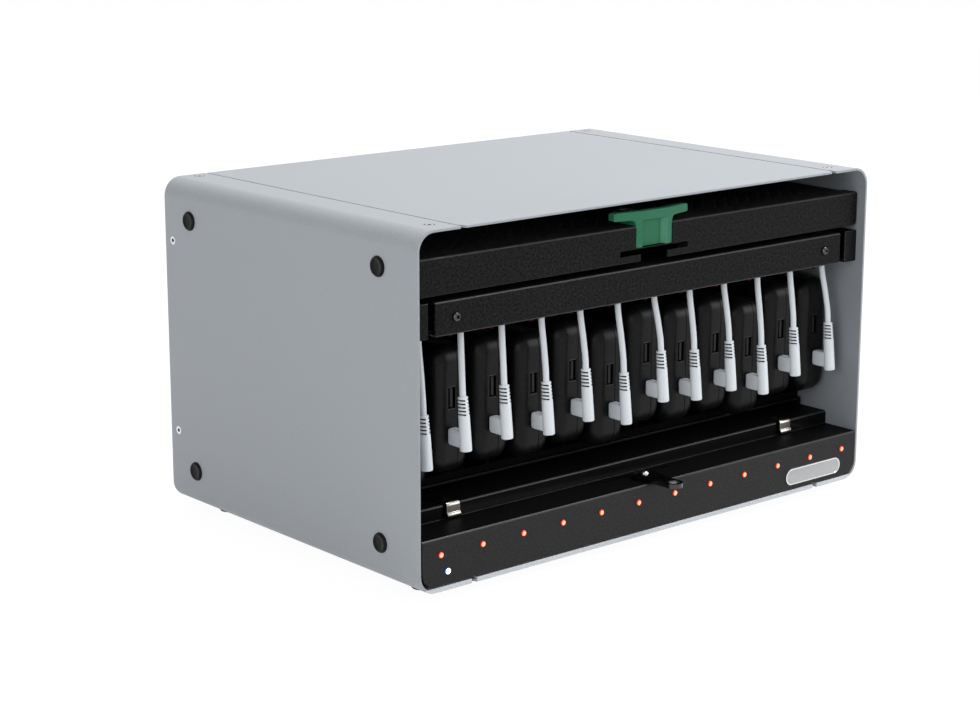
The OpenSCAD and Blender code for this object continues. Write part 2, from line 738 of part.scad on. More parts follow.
module track() {
    t = 1.2;
    zl = runner_z - lip_gap / 2;
    zu = runner_z + lip_gap / 2;
    color("#4a4c4f") difference() {
        union() {
            block([inner_w - t, track_y0, zl - t], [inner_w, track_y1, zu + t]);
            for (z = [zl - t, zu]) block([track_x0, track_y0, z], [inner_w, track_y1, z + t]);
            block([track_x0, track_y0, zl - t], [inner_w, front_stop, zu + t]);
            block([track_x0, rear_stop, zl - t], [inner_w, track_y1, zu + t]);
        }
        for (y = plug_y) bore_x(inner_w - t - 0.1, inner_w + 1, y, plug_z[1], plug_hole + 2.4);
        for (y = [track_y0 + 55, track_y1 - 40]) bore_x(inner_w - 4, inner_w + 1, y, runner_z, 3);
    }
}

module left_track() { mirror([1, 0, 0]) track(); }
module right_track() { track(); }

// Nylon strips on the tracks that carry the edges of the door's plate
module track_glides() {
    z0 = runner_z + lip_gap / 2 + 1.2;
    color("#d8d6cf") for (s = [0, 1]) mirror([s, 0, 0])
        block([track_x0 + 0.2, track_y0, z0], [plate_w - 0.6, track_y1, door_z - sheet_t - 0.2]);
}

// Lead bar

bar_y = front + door_inset;
bar_depth = 30;
bar_lip = 6;
bar_screw_x = bar_w / 2 - 16;
bar_screw_z = bar_lo + 10.8;
rail_z = bar_lo + 1.7;
lead_y = front + lead_row;

module bar_section() {
    polygon(rounded([
        [bar_y, bar_lo, 1.6], [bar_y, bar_top, 1.6], [bar_y + bar_depth, bar_top, 0.3],
        [bar_y + bar_depth, bar_top - sheet_t, 0.3], [bar_y + sheet_t, bar_top - sheet_t, 0],
        [bar_y + sheet_t, bar_lo + sheet_t, 0], [bar_y + bar_lip, bar_lo + sheet_t, 0.3],
        [bar_y + bar_lip, bar_lo, 0.3]], 4));
}

module lead_bar() {
    color("#262729") difference() {
        across(-bar_w / 2, bar_w / 2) bar_section();
        for (s = [-1, 1]) {
            bore_y(bar_y - 1, bar_y + 3, s * bar_screw_x, bar_screw_z, 4.4);
            along(bar_y - 1, bar_y + bar_lip + 1) corner_waste(s * bar_w / 2, bar_lo, 2.2);
        }
    }
}

module bar_screws() {
    color("#8d9094") for (s = [-1, 1]) translate([s * bar_screw_x, bar_y, bar_screw_z]) rotate([90, 0, 0])
        difference() {
            union() {
                cylinder(h = 1.2, d = 6);
                translate([0, 0, 1.2]) cylinder(h = 0.9, d1 = 6, d2 = 4);
                translate([0, 0, -7]) cylinder(h = 7, d = 3.8);
            }
            translate([0, 0, 0.4]) cylinder(h = 3, d = 2.5, $fn = 6);
        }
}

// The inner rail hangs between the two brackets and carries the cover, grommets and board
module lead_rail() {
    y0 = bar_y + bar_lip + 1;
    y1 = bar_y + bar_depth + sheet_t;
    grommet_hole = lead_dia + 4;
    end_x = inner_w - sheet_t - 0.3;
    color("#3a3b3d") difference() {
        union() {
            block([-end_x, y0, rail_z], [end_x, y1, rail_z + sheet_t]);
            block([-end_x, y1 - sheet_t, rail_z], [end_x, y1, bar_top - sheet_t - 0.2]);
            for (s = [-1, 1]) {
                block([s * bar_screw_x - 8, bar_y + sheet_t, rail_z],
                      [s * bar_screw_x + 8, y0 + 1, rail_z + sheet_t]);
                block([s * bar_screw_x - 8, bar_y + sheet_t, rail_z],
                      [s * bar_screw_x + 8, bar_y + 2 * sheet_t, bar_top - sheet_t - 0.2]);
            }
        }
        for (i = [1:bays]) {
            bore_z(rail_z - 2, rail_z + 4, lead_x(i), lead_y, grommet_hole);
            bore_z(rail_z - 2, rail_z + 4, lead_x(i) - glow_dx, lead_y, glow_dia + 0.4);
        }
        for (s = [-1, 1]) bore_y(bar_y, bar_y + 5, s * bar_screw_x, bar_screw_z, 4);
    }
}

bracket_x = bar_w / 2 + 5.4;

module bar_bracket() {
    y1 = bar_y + bar_depth + 2 * sheet_t;
    color("#262729") difference() {
        union() {
            block([bracket_x, bar_y, bar_lo - 0.2], [inner_w, bar_y + sheet_t, bar_top + 0.2]);
            block([inner_w - sheet_t, bar_y, bar_lo - 0.2], [inner_w, y1, bar_top + 0.2]);
            block([bracket_x, bar_y, bar_lo - 0.2], [inner_w, y1, rail_z]);
        }
        bore_z(bar_lo - 1, rail_z + 1, lead_x(bays) + glow_dx, lead_y, glow_dia + 1);
    }
}

module left_bar_bracket() { mirror([1, 0, 0]) bar_bracket(); }
module right_bar_bracket() { bar_bracket(); }

module lead_grommets() {
    bore = lead_dia + 0.2;
    color("#2a2b2d") for (i = [1:bays]) translate([lead_x(i), lead_y, 0]) difference() {
        union() {
            translate([0, 0, rail_z - 1.3]) cylinder(h = 1.3, d = lead_dia + 5);
            translate([0, 0, rail_z]) cylinder(h = sheet_t, d = lead_dia + 3.8);
            translate([0, 0, rail_z + sheet_t]) cylinder(h = 0.9, d = lead_dia + 5);
        }
        translate([0, 0, rail_z - 3]) cylinder(h = 9, d = bore);
    }
}

board_z = rail_z + sheet_t + 6;
board_x = lead_x(bays) + 11;
socket_h = 4.4;
glow_dx = 8.2;
glow_dia = 3;
glow_drop = 6.7;
glow_z = rail_z - glow_drop;
board_front = 5.5;
board_back = 12;

module charging_board() {
    color("#1f5f3a") difference() {
        union() {
            block([-board_x, lead_y - board_front, board_z], [board_x, lead_y + board_back, board_z + 1.6]);
            for (x = board_post_x) bore_z(rail_z + sheet_t, board_z + eps, x, lead_y + 9, 5);
        }
        for (x = board_post_x) bore_z(rail_z + sheet_t - 1, board_z + 4, x, lead_y + 9, 2.4);
    }
}

board_post_x = [-4.5 * lead_pitch, -1.5 * lead_pitch, 1.5 * lead_pitch, 4.5 * lead_pitch];

module board_sockets() {
    color("#d9dad6") for (i = [1:bays]) translate([lead_x(i) - 4.5, lead_y - 4, board_z - socket_h])
        cube([9, 8, socket_h]);
}

// Red charge lamps: light pipes that reach down through the rail beside each lead
module board_lamps() {
    color("#a01818") for (i = [1:bays]) bore_z(glow_z, board_z, lead_x(i) - glow_dx, lead_y, glow_dia);
}

// Pack rack

shelf_h = 49.2;
shelf_z = under + shelf_h;
shelf_y0 = front + 51;
rack_y1 = pack_y + pack_l - 6;
fin_t = pack_gap - 1.8;

module rack_shelf() {
    z0 = shelf_z - sheet_t;
    color("#202123") union() {
        block([-inner_w + 2, shelf_y0, z0], [inner_w - 2, rack_y1 + 10, shelf_z]);
        for (s = [-1, 1]) {
            x0 = s * (inner_w - 2);
            x1 = s * (inner_w - 2 - sheet_t);
            block([min(x0, x1), shelf_y0, deck_z], [max(x0, x1), rack_y1 + 10, shelf_z]);
        }
        block([-sheet_t / 2, shelf_y0 + 40, deck_z], [sheet_t / 2, rack_y1 + 10, shelf_z]);
        block([-inner_w + 2, rack_y1 + 10 - sheet_t, z0], [inner_w - 2, rack_y1 + 10, door_z - 21]);
    }
}

// Soft comb between the packs; it grips each pack at the height where it was put in
module rack_dividers() {
    y0 = shelf_y0 + 3;
    fin_h = 62;
    end_x = bay_x(bays) + bay_pitch / 2;
    pad_x = min(end_x, inner_w - 2.2);
    color("#17181a") union() {
        block([-pad_x, y0, shelf_z], [pad_x, rack_y1, under + rack_h]);
        for (i = [0:bays]) {
            x = -end_x + i * bay_pitch;
            x0 = max(x - fin_t / 2, -pad_x);
            x1 = min(x + fin_t / 2, pad_x);
            if (x1 - x0 > 0.5) block([x0, y0, shelf_z], [x1, rack_y1, under + rack_h + fin_h]);
        }
    }
}

// Battery packs: each one is rounded in all three views, with a charging port and a data port

port = [6.8, 14.6];
port_z = 49.1;
port_side = 1.2;
nub_z = 25.8;
nub = [6, 11];

module battery_pack(i) {
    x = pack_x(i);
    z = pack_z(i);
    h = pack_t / 2;
    px = x - port_side;
    color("#1e1f21") difference() {
        intersection() {
            across(x - h, x + h) round_rect(pack_y, z, pack_y + pack_l, z + pack_h, 8);
            translate([0, 0, z - 1]) linear_extrude(pack_h + 2)
                round_rect(x - h, pack_y, x + h, pack_y + pack_l, 4);
            along(pack_y - 1, pack_y + pack_l + 1) round_rect(x - h, z, x + h, z + pack_h, 7);
        }
        difference() {
            block([px - port[0] / 2, pack_y - 1, z + port_z - port[1] / 2],
                  [px + port[0] / 2, pack_y + 6, z + port_z + port[1] / 2]);
            block([px - 0.9, pack_y + 1, z + port_z - port[1] / 2 + 1.2],
                  [px + 0.9, pack_y + 7, z + port_z + port[1] / 2 - 1.2]);
        }
    }
}

// Charging leads: each comes straight out of its grommet and bends forward to its plug

plug_y0 = pack_y - 14.8;
plug_lean = 5.4;
plug_len = 34;
plug_r = 3.7;
lead_end_z = board_z - socket_h;
function plug_x(i) = pack_x(i) + plug_dx[i - 1];
function plug_foot(i) = pack_z(i) + nub_z - 7.3;
function plug_top(i) =
    [plug_x(i), plug_y0 + plug_len * sin(plug_lean), plug_foot(i) + plug_len * cos(plug_lean)];

// Height along a lead from its plug, as a share of the free length, and how far it has moved over
lead_steps = [[0, 0], [0.2, 0.06], [0.5, 0.42], [0.8, 0.9], [1, 1]];

function lead_points(i) =
    let (a = plug_top(i), b = [lead_x(i), lead_y, rail_z - 1.3])
    concat([for (s = lead_steps) [a[0] + (b[0] - a[0]) * s[1],
                                  a[1] + (b[1] - a[1]) * (0.35 * s[0] + 0.65 * s[1]),
                                  a[2] + (b[2] - a[2]) * s[0]]],
           [[b[0], b[1], lead_end_z]]);

sides = 8;

// A tube with level rings, which is close enough for leads that stand nearly upright
module tube(pts, d) {
    n = len(pts);
    polyhedron(
        points = [for (p = pts, k = [0:sides - 1])
            p + d / 2 * [cos(360 * k / sides), sin(360 * k / sides), 0]],
        faces = concat(
            [[for (k = [0:sides - 1]) k]],
            [for (j = [0:n - 2], k = [0:sides - 1]) let (m = (k + 1) % sides)
                [j * sides + k, (j + 1) * sides + k, (j + 1) * sides + m]],
            [for (j = [0:n - 2], k = [0:sides - 1]) let (m = (k + 1) % sides)
                [j * sides + k, (j + 1) * sides + m, j * sides + m]],
            [[for (k = [sides - 1:-1:0]) (n - 1) * sides + k]]));
}

module charging_leads() {
    color("#e4e8ec") for (i = [1:bays]) tube(lead_points(i), lead_dia - 0.2);
}

module lead_plug(i) {
    translate([plug_x(i), plug_y0, plug_foot(i)]) {
        rotate([-plug_lean, 0, 0]) {
            cylinder(h = plug_len - 9, r = plug_r);
            for (k = [0:3]) translate([0, 0, plug_len - 9 + k * 2.25]) {
                cylinder(h = 1.5, r1 = plug_r - 0.1 * k, r2 = plug_r - 0.1 * k - 0.1);
                cylinder(h = 2.3, r = 2.5);
            }
        }
        block([-nub[0] / 2, 0, 7.3 - nub[1] / 2], [nub[0] / 2, pack_y - plug_y0, 7.3 + nub[1] / 2]);
    }
}

module lead_plugs() {
    color("#e4e8ec") difference() {
        for (i = [1:bays]) lead_plug(i);
        for (i = [1:bays]) {
            p = plug_top(i);
            block([p[0] - 6, p[1] - 6, p[2]], [p[0] + 6, p[1] + 6, p[2] + 3]);
        }
    }
}

// Mains side, behind the tray

supply = [150, 110, 32];
supply_at = [-40, rear - 60 - supply[1], under + sheet_t];
supply_foot = [6, 8, 2];

module power_supply() {
    a = supply_at;
    b = supply_at + supply;
    f = supply_foot;
    color("#b4b7ba") union() {
        block(a, b);
        for (y = [a[1] + f[1] / 2, b[1] - 1.5 * f[1]])
            block([a[0] - f[0], y, a[2]], [b[0] + f[0], y + f[1], a[2] + f[2]]);
    }
}

module mains_inlet() {
    y0 = rear - 1;
    color("#1c1d1f") translate([inlet_x, 0, inlet_z]) difference() {
        union() {
            block([-15.5, y0, -12], [15.5, y0 + 1, 12]);
            block([-13.5, rear - 17, -9.7], [13.5, y0 + 0.5, 9.7]);
        }
        block([-12, y0 - 13, -8], [12, y0 + 2, 8]);
    }
    color("#c9c6c0") for (x = [-7, 0, 7]) translate([inlet_x + x, 0, inlet_z])
        block([-1, rear - 15, -2 + (x == 0 ? 3 : 0)], [1, rear - 5, 2 + (x == 0 ? 3 : 0)]);
}

rocker_tilt = 8;
rocker_pin = 1.6;
pin_gap = 0.1;

module switch_body() {
    y0 = rear - 1;
    color("#1c1d1f") translate([switch_x, 0, inlet_z]) difference() {
        union() {
            block([-8, y0, -11.5], [8, y0 + 0.9, 11.5]);
            block([-6.3, rear - 19, -9.5], [6.3, y0 + 0.5, 9.5]);
        }
        block([-5, y0 - 12, -8.6], [5, y0 + 2, 8.6]);
    }
    color("#55585b") translate([switch_x, 0, inlet_z])
        bore_x(-5.6, 5.6, rear - 6, 0, rocker_pin);
}

module rocker_key() {
    color("#2a2b2d") translate([switch_x, rear - 6, inlet_z]) rotate([rocker_tilt, 0, 0]) difference() {
        across(-4.6, 4.6) polygon(rounded([
            [-3, -7, 1], [4.6, -7.6, 0.8], [3.6, 0, 6], [4.6, 7.6, 0.8], [-3, 7, 1]], 4));
        bore_x(-6, 6, 0, 0, rocker_pin + pin_gap);
    }
}

left_side_panel();
right_side_panel();
roof_panel();
floor_panel();
rear_panel();
roof_screws();
side_screws();
side_plugs();
rubber_feet();
front_tray();
status_lamps();
power_lamp();
lamp_board();
badge_plate();
left_catch();
right_catch();
catch_rivets();
hasp_tongue();
hasp_screw();
hasp_washer();
door_panel();
door_handle();
handle_screws();
door_runners();
lock_body();
lock_cylinder();
left_track();
right_track();
track_glides();
lead_bar();
bar_screws();
left_bar_bracket();
right_bar_bracket();
lead_rail();
lead_grommets();
charging_board();
board_sockets();
board_lamps();
rack_shelf();
rack_dividers();
power_supply();
mains_inlet();
switch_body();
rocker_key();
for (i = [1:bays]) battery_pack(i);
charging_leads();
lead_plugs();
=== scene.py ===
"""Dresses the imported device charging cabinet: camera, leads, finishes, detailed pieces and stage."""
import json
import math

import bmesh
import bpy
from mathutils import Matrix, Vector


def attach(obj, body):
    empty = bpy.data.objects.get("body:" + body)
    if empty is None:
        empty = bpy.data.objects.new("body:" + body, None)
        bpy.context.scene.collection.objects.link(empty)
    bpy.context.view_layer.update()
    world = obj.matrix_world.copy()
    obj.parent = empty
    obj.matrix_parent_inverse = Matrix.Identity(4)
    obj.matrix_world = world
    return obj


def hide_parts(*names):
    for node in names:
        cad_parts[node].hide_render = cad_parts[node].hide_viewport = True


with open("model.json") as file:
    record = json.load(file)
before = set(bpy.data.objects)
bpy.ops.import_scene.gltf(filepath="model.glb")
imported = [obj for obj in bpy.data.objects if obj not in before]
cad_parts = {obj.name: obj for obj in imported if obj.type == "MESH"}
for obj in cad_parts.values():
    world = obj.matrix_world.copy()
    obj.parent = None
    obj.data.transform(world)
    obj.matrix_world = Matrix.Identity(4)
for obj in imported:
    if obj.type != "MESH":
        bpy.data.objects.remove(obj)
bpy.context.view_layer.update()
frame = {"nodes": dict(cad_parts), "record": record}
nodes = frame["nodes"]
scene = bpy.context.scene
scene.view_settings.view_transform = "Standard"

MM = 0.001

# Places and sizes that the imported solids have, in millimetres
HALF_W = 200.0
SHEET = 1.5
FRONT = -124.25
REAR = 145.75
UNDER = 7.0
TOP = 230.0
MID_Z = (UNDER + TOP) / 2
HEM_H = 3.1
BAYS = 12
BAY_PITCH = 33.15
LEAD_PITCH = 33.0
LAMP_PITCH = 33.309
PACK = (29.15, 150.0, 81.9)
PACK_RADII = (9.0, 9.0, 12.0)
PACK_Y = -96.45
PACK_PAD_Z = 60.5
PACK_DX = (0.6, -0.6, -0.6, 0.3, 0.6, 0.6, 0.6, -0.2, 0, -0.6, -0.6, 0.5)
PLUG_DX = (-1.3, -2.4, -2.2, -1.3, -0.8, -0.1, 0.4, -0.8, -0.6, -0.9, -1.7, 0.1)
PACK_DZ = (1.5, 8, 10, 6.5, 9.5, 1.5, 11, 7, 8, 0.3, 8, 6.5)
PLUG_Y = PACK_Y - 14.8
PLUG_LEAN = math.radians(5.4)
PLUG_LEN = 34.0
PLUG_R = 3.8
NUB_Z = 25.8
NUB_UP = 7.3
RAIL_Z = 165.1
LEAD_Y = -101.25
LEAD_DIA = 4.0
GROMMET_T = 1.3
LAMP_Z = 30.5
POWER_LAMP = (-177.8, 19.2)
BADGE = (153.4, 19.7, 56.0, 11.6)
HASP_Y = -112.75
STEP_Y = FRONT + 28
CATCH_W = 10.4
HASP_TOP = 44.7
EYE_Y = FRONT - 15.5
LEDGE_Z = 41.2
BAR_SCREW = (165.3, -117.75, 174.2)
SLOT_Y = -101.75
ROOF_SCREW_X = 177.0
ROOF_SCREW_Y = (FRONT + 17, REAR - 8)
SIDE_SCREW_Y = REAR - 8.3
SIDE_SCREW_Z = (UNDER + 50, TOP - 41.4)
SIDE_PLUG_Y = (FRONT + 37.5, REAR - 29.5)
SIDE_PLUG_Z = (UNDER + 25.5, TOP - 25.5)


def bay_x(i):
    return (i - (BAYS - 1) / 2) * BAY_PITCH


def lead_x(i):
    return (i - (BAYS - 1) / 2) * LEAD_PITCH


def pack_x(i):
    return bay_x(i) + PACK_DX[i]


def pack_z(i):
    return PACK_PAD_Z + PACK_DZ[i]


def plug_x(i):
    return pack_x(i) + PLUG_DX[i]


# Camera -------------------------------------------------------------------------------------

CAMERA_AT = (-0.996248, -1.117805, 0.459037)
YAW, PITCH, ROLL = (math.radians(a) for a in (40.61367, 13.41623, 0.11177))
LENS_MM = 81.968
SENSOR_MM = 36.0

forward = Vector((math.sin(YAW) * math.cos(PITCH), math.cos(YAW) * math.cos(PITCH), -math.sin(PITCH)))
level = Vector((math.cos(YAW), -math.sin(YAW), 0))
upright = level.cross(forward)
right = level * math.cos(ROLL) + upright * math.sin(ROLL)
up = -level * math.sin(ROLL) + upright * math.cos(ROLL)
camera_data = bpy.data.cameras.new("camera")
camera_data.sensor_fit = "HORIZONTAL"
camera_data.sensor_width = SENSOR_MM
camera_data.lens = LENS_MM
camera_data.clip_start = 0.01  # metres
camera_data.clip_end = 50
camera = bpy.data.objects.new("camera", camera_data)
camera.matrix_world = Matrix((
    (right.x, up.x, -forward.x, CAMERA_AT[0]),
    (right.y, up.y, -forward.y, CAMERA_AT[1]),
    (right.z, up.z, -forward.z, CAMERA_AT[2]),
    (0, 0, 0, 1)))
scene.collection.objects.link(camera)
scene.camera = camera


# Materials ----------------------------------------------------------------------------------

# What the finishes share: the noises' octaves and scales, and depth and roughness of what they shape
GRAIN_DETAIL, DRIFT_DETAIL, BUMP_DETAIL, WEAR_DETAIL = 3, 4, 2, 6
DRIFT_SCALE = 14
WEAR_SCALE = 0.2  # of the bump's scale
WEAR_BAND = (0.62, 0.75)
ROUGH_SWING = 0.05
BUMP_DEPTH = 0.0003
COAT_ROUGH = 0.15


def shade(name, color, rough=0.5, metal=0.0, grain=0.0, grain_scale=1100, drift=0.05, bump=0.0,
          bump_scale=1500, scratch=0.0, stretch=(1, 1, 1), coat=0.0, ior=1.5, glow=None):
    """A procedural finish: grain and slow drift in the colour, uneven roughness and a fine bump.

    stretch draws the patterns out along an axis; glow is the colour and strength of a lamp's light."""
    m = bpy.data.materials.new(name)
    m.use_nodes = True
    tree = m.node_tree
    new, link = tree.nodes.new, tree.links.new
    bsdf = tree.nodes["Principled BSDF"]
    bsdf.inputs["Metallic"].default_value = metal
    bsdf.inputs["IOR"].default_value = ior
    if coat:
        bsdf.inputs["Coat Weight"].default_value = coat
        bsdf.inputs["Coat Roughness"].default_value = COAT_ROUGH
    coords = new("ShaderNodeTexCoord")
    mapping = new("ShaderNodeMapping")
    mapping.inputs["Scale"].default_value = stretch
    link(coords.outputs["Object"], mapping.inputs["Vector"])

    def noise(scale, detail):
        n = new("ShaderNodeTexNoise")
        n.inputs["Scale"].default_value = scale
        n.inputs["Detail"].default_value = detail
        link(mapping.outputs["Vector"], n.inputs["Vector"])
        return n.outputs["Fac"]

    def spread(fac, low, high, band=(0.3, 0.7)):
        """Maps a band of the noise's values to low and high."""
        r = new("ShaderNodeMapRange")
        for socket, value in zip(("From Min", "From Max", "To Min", "To Max"), (*band, low, high)):
            r.inputs[socket].default_value = value
        link(fac, r.inputs["Value"])
        return r.outputs["Result"]

    def combine(operation, a, b):
        math_node = new("ShaderNodeMath")
        math_node.operation = operation
        link(a, math_node.inputs[0])
        link(b, math_node.inputs[1])
        return math_node.outputs["Value"]

    slow = noise(DRIFT_SCALE, DRIFT_DETAIL)
    tint = new("ShaderNodeVectorMath")
    tint.operation = "SCALE"
    tint.inputs[0].default_value = color
    link(combine("MULTIPLY", spread(noise(grain_scale, GRAIN_DETAIL), 1 - grain, 1 + grain),
                 spread(slow, 1 - drift, 1 + drift)), tint.inputs["Scale"])
    link(tint.outputs["Vector"], bsdf.inputs["Base Color"])
    link(spread(slow, max(rough - ROUGH_SWING, 0.02), min(rough + ROUGH_SWING, 1)),
         bsdf.inputs["Roughness"])
    if bump:
        b = new("ShaderNodeBump")
        b.inputs["Strength"].default_value = bump
        b.inputs["Distance"].default_value = BUMP_DEPTH
        height = noise(bump_scale, BUMP_DETAIL)
        if scratch:
            wear = spread(noise(bump_scale * WEAR_SCALE, WEAR_DETAIL), 0, scratch, WEAR_BAND)
            height = combine("ADD", height, wear)
        link(height, b.inputs["Height"])
        link(b.outputs["Normal"], bsdf.inputs["Normal"])
    if glow:
        bsdf.inputs["Emission Color"].default_value = (*glow[0], 1)
        bsdf.inputs["Emission Strength"].default_value = glow[1]
    return m


GREY = (0.415, 0.438, 0.465)
BLACK = (0.0125, 0.0125, 0.013)
COAT = dict(bump=0.3, bump_scale=1100)
ROLLED = (1, 1, 0.06)
side_paint = shade("side_paint", GREY, 0.46, grain=0.07, bump=0.25, bump_scale=1200, drift=0.015)
roof_paint = shade("roof_paint", GREY, 0.54, grain=0.05, bump=0.25, bump_scale=1200, drift=0.015)
floor_paint = shade("floor_paint", GREY, 0.5, grain=0.05, bump=0.22, bump_scale=1300, drift=0.02)
black_paint = shade("black_paint", BLACK, 0.45, grain=0.55, grain_scale=700, ior=1.3, **COAT)
# painted highlight: a lighter black for the eased edges of the black parts
black_edge_highlight = shade("black_edge_highlight", (0.027, 0.028, 0.03), 0.34, grain=0.2, bump=0.2, ior=1.38)
# painted shade: a darker black for the tray's ledge, step and deck, which lie in shade behind the face
ledge_shade_paint = shade("ledge_shade_paint", (0.0042, 0.0042, 0.0045), 0.5, grain=0.4, ior=1.12, **COAT)
cut_edge = shade("cut_edge", (0.41, 0.43, 0.455), 0.45, grain=0.05, bump=0.1, ior=1.3)
# painted highlight: a lighter copy of the grey for the hem's front edge
hem_highlight_paint = shade("hem_highlight_paint", (0.70, 0.725, 0.75), 0.42, grain=0.05, bump=0.1)
# painted shade: a darker copy of the grey for the side panels' inner faces
inner_shade_paint = shade("inner_shade_paint", (0.285, 0.305, 0.325), 0.5, grain=0.06, bump=0.2, bump_scale=1200)
seam_shade = shade("seam_shade", (0.10, 0.115, 0.14), 0.6, grain=0.1, bump=0.1, ior=1.2)
door_paint = shade("door_paint", (0.0095, 0.0095, 0.0098), 0.5, grain=0.95, grain_scale=620, drift=0.12,
                   ior=1.16, **COAT)
shadow_paint = shade("shadow_paint", (0.004, 0.004, 0.0043), 0.5, grain=0.3, bump=0.2, ior=1.2)
gloss_black = shade("gloss_black", (0.003, 0.003, 0.0035), 0.12, grain=0.2, bump=0.1, bump_scale=400,
                    coat=0.6)
bright_screw = shade("bright_screw", (0.72, 0.73, 0.74), 0.22, 1.0, grain=0.05, bump=0.08, scratch=0.4)
roof_screw = shade("roof_screw", (0.62, 0.64, 0.66), 0.36, 1.0, grain=0.05, bump=0.1)
dark_screw = shade("dark_screw", (0.085, 0.083, 0.082), 0.24, 1.0, grain=0.08, bump=0.1, scratch=0.4)
catch_steel = shade("catch_steel", (0.47, 0.45, 0.425), 0.26, 1.0, grain=0.12, bump=0.3, stretch=ROLLED)
# painted shade: a darker steel for the catch's flat face
catch_shade_steel = shade("catch_shade_steel", (0.125, 0.113, 0.10), 0.4, 1.0, grain=0.12, bump=0.25, stretch=ROLLED)
track_steel = shade("track_steel", (0.30, 0.31, 0.32), 0.4, 1.0, grain=0.08, bump=0.1)
black_rubber = shade("black_rubber", (0.006, 0.006, 0.0065), 0.6, grain=0.2, bump=0.25, ior=1.25)
plug_rubber = shade("plug_rubber", (0.0045, 0.0045, 0.005), 0.36, grain=0.5, grain_scale=500, bump=0.7,
                    bump_scale=420, ior=1.22)
black_plastic = shade("black_plastic", (0.012, 0.012, 0.0125), 0.45, grain=0.2, bump=0.2)
rack_foam = shade("rack_foam", (0.003, 0.003, 0.0032), 0.9, grain=0.3, bump=0.6, bump_scale=700,
                  ior=1.15)
nylon = shade("nylon", (0.62, 0.60, 0.55), 0.45, grain=0.04, bump=0.1)
green_plastic = shade("green_plastic", (0.030, 0.190, 0.096), 0.42, grain=0.1, bump=0.22, bump_scale=700,
                      ior=1.28)
# painted highlight: a lighter green for the handle's eased edges
green_edge_highlight = shade("green_edge_highlight", (0.060, 0.270, 0.150), 0.36, grain=0.1, bump=0.2, bump_scale=700,
                   ior=1.4)
board_green = shade("board_green", (0.004, 0.016, 0.009), 0.4, grain=0.15, bump=0.1, ior=1.25)
socket_plastic = shade("socket_plastic", (0.62, 0.62, 0.59), 0.45, grain=0.04, bump=0.1)
pack_black = shade("pack_black", (0.0048, 0.0048, 0.0053), 0.33, grain=0.6, grain_scale=700, bump=0.35,
                   bump_scale=1100, ior=1.26)
port_metal = shade("port_metal", (0.07, 0.07, 0.074), 0.35, 1.0, grain=0.1, bump=0.1)
port_dark = shade("port_dark", (0.002, 0.002, 0.002), 0.6, grain=0.1, ior=1.1)
port_tongue = shade("port_tongue", (0.02, 0.02, 0.021), 0.5, grain=0.1, ior=1.3)
lead_white = shade("lead_white", (0.83, 0.865, 0.90), 0.34, grain=0.02, bump=0.06, drift=0.02)
# painted shade in the plug's slots
slot_shade = shade("slot_shade", (0.025, 0.028, 0.032), 0.5, grain=0.05, ior=1.2)
supply_case = shade("supply_case", (0.45, 0.46, 0.47), 0.35, 1.0, grain=0.06, bump=0.1)
badge_satin = shade("badge_satin", (0.52, 0.525, 0.53), 0.34, grain=0.02, bump=0.05, ior=1.3)
badge_rim = shade("badge_rim", (0.80, 0.81, 0.82), 0.16, 1.0, grain=0.05, bump=0.05)
red_lens = shade("red_lens", (0.30, 0.005, 0.004), 0.12, grain=0.05, glow=((1.0, 0.008, 0.004), 0.32))
red_mid = shade("red_mid", (0.8, 0.05, 0.02), 0.2, grain=0.05, glow=((1.0, 0.07, 0.03), 0.9))
red_core = shade("red_core", (1.0, 0.45, 0.3), 0.3, grain=0.05, glow=((1.0, 0.32, 0.16), 1.15))
white_lens = shade("white_lens", (0.05, 0.15, 0.5), 0.12, grain=0.05, glow=((0.02, 0.22, 1.0), 0.7))
white_core = shade("white_core", (0.9, 0.95, 1.0), 0.3, grain=0.05, glow=((0.97, 0.99, 1.0), 3.0))
glow_pipe = shade("glow_pipe", (0.012, 0.0005, 0.0005), 0.6, grain=0.05, ior=1.15,
                  glow=((1.0, 0.01, 0.01), 0.02))
# painted highlight: bare steel for the rim and bore of the hasp's eye
eye_highlight_steel = shade("eye_highlight_steel", (0.20, 0.20, 0.205), 0.2, 1.0, grain=0.1, bump=0.15, scratch=0.4)
# painted shade in screw sockets and countersink seats
socket_shade = shade("socket_shade", (0.02, 0.021, 0.023), 0.5, grain=0.1, bump=0.1, ior=1.2)

NODE_FINISH = {
    side_paint: ("left_side_panel", "right_side_panel"),
    roof_paint: ("roof_panel",),
    floor_paint: ("floor_panel", "rear_panel"),
    black_paint: ("front_tray", "lead_rail"),
    shadow_paint: ("rack_shelf", "catch_rivets"),
    door_paint: ("door_panel", "lead_bar", "left_bar_bracket", "right_bar_bracket"),
    gloss_black: ("hasp_tongue",),
    bright_screw: ("side_screws", "hasp_screw", "lock_cylinder"),
    roof_screw: ("roof_screws",),
    dark_screw: ("handle_screws", "bar_screws"),
    catch_steel: ("left_catch", "right_catch"),
    track_steel: ("left_track", "right_track"),
    black_rubber: ("rubber_feet", "lead_grommets"),
    plug_rubber: ("side_plugs",),
    black_plastic: ("lock_body", "mains_inlet", "switch_body", "rocker_key", "hasp_washer"),
    rack_foam: ("rack_dividers",),
    nylon: ("door_runners", "track_glides"),
    green_plastic: ("door_handle",),
    board_green: ("lamp_board", "charging_board"),
    socket_plastic: ("board_sockets",),
    pack_black: tuple(f"battery_pack_{i + 1}" for i in range(BAYS)),
    lead_white: ("charging_leads", "lead_plugs"),
    supply_case: ("power_supply",),
    badge_satin: ("badge_plate",),
    red_lens: ("status_lamps",),
    white_lens: ("power_lamp",),
    glow_pipe: ("board_lamps",),
}
for finish, names in NODE_FINISH.items():
    for n in names:
        mesh = nodes[n].data
        if not mesh.materials:
            mesh.materials.append(finish)
        for s in nodes[n].material_slots:
            s.material = finish


# Mesh helpers; sizes in millimetres ---------------------------------------------------------

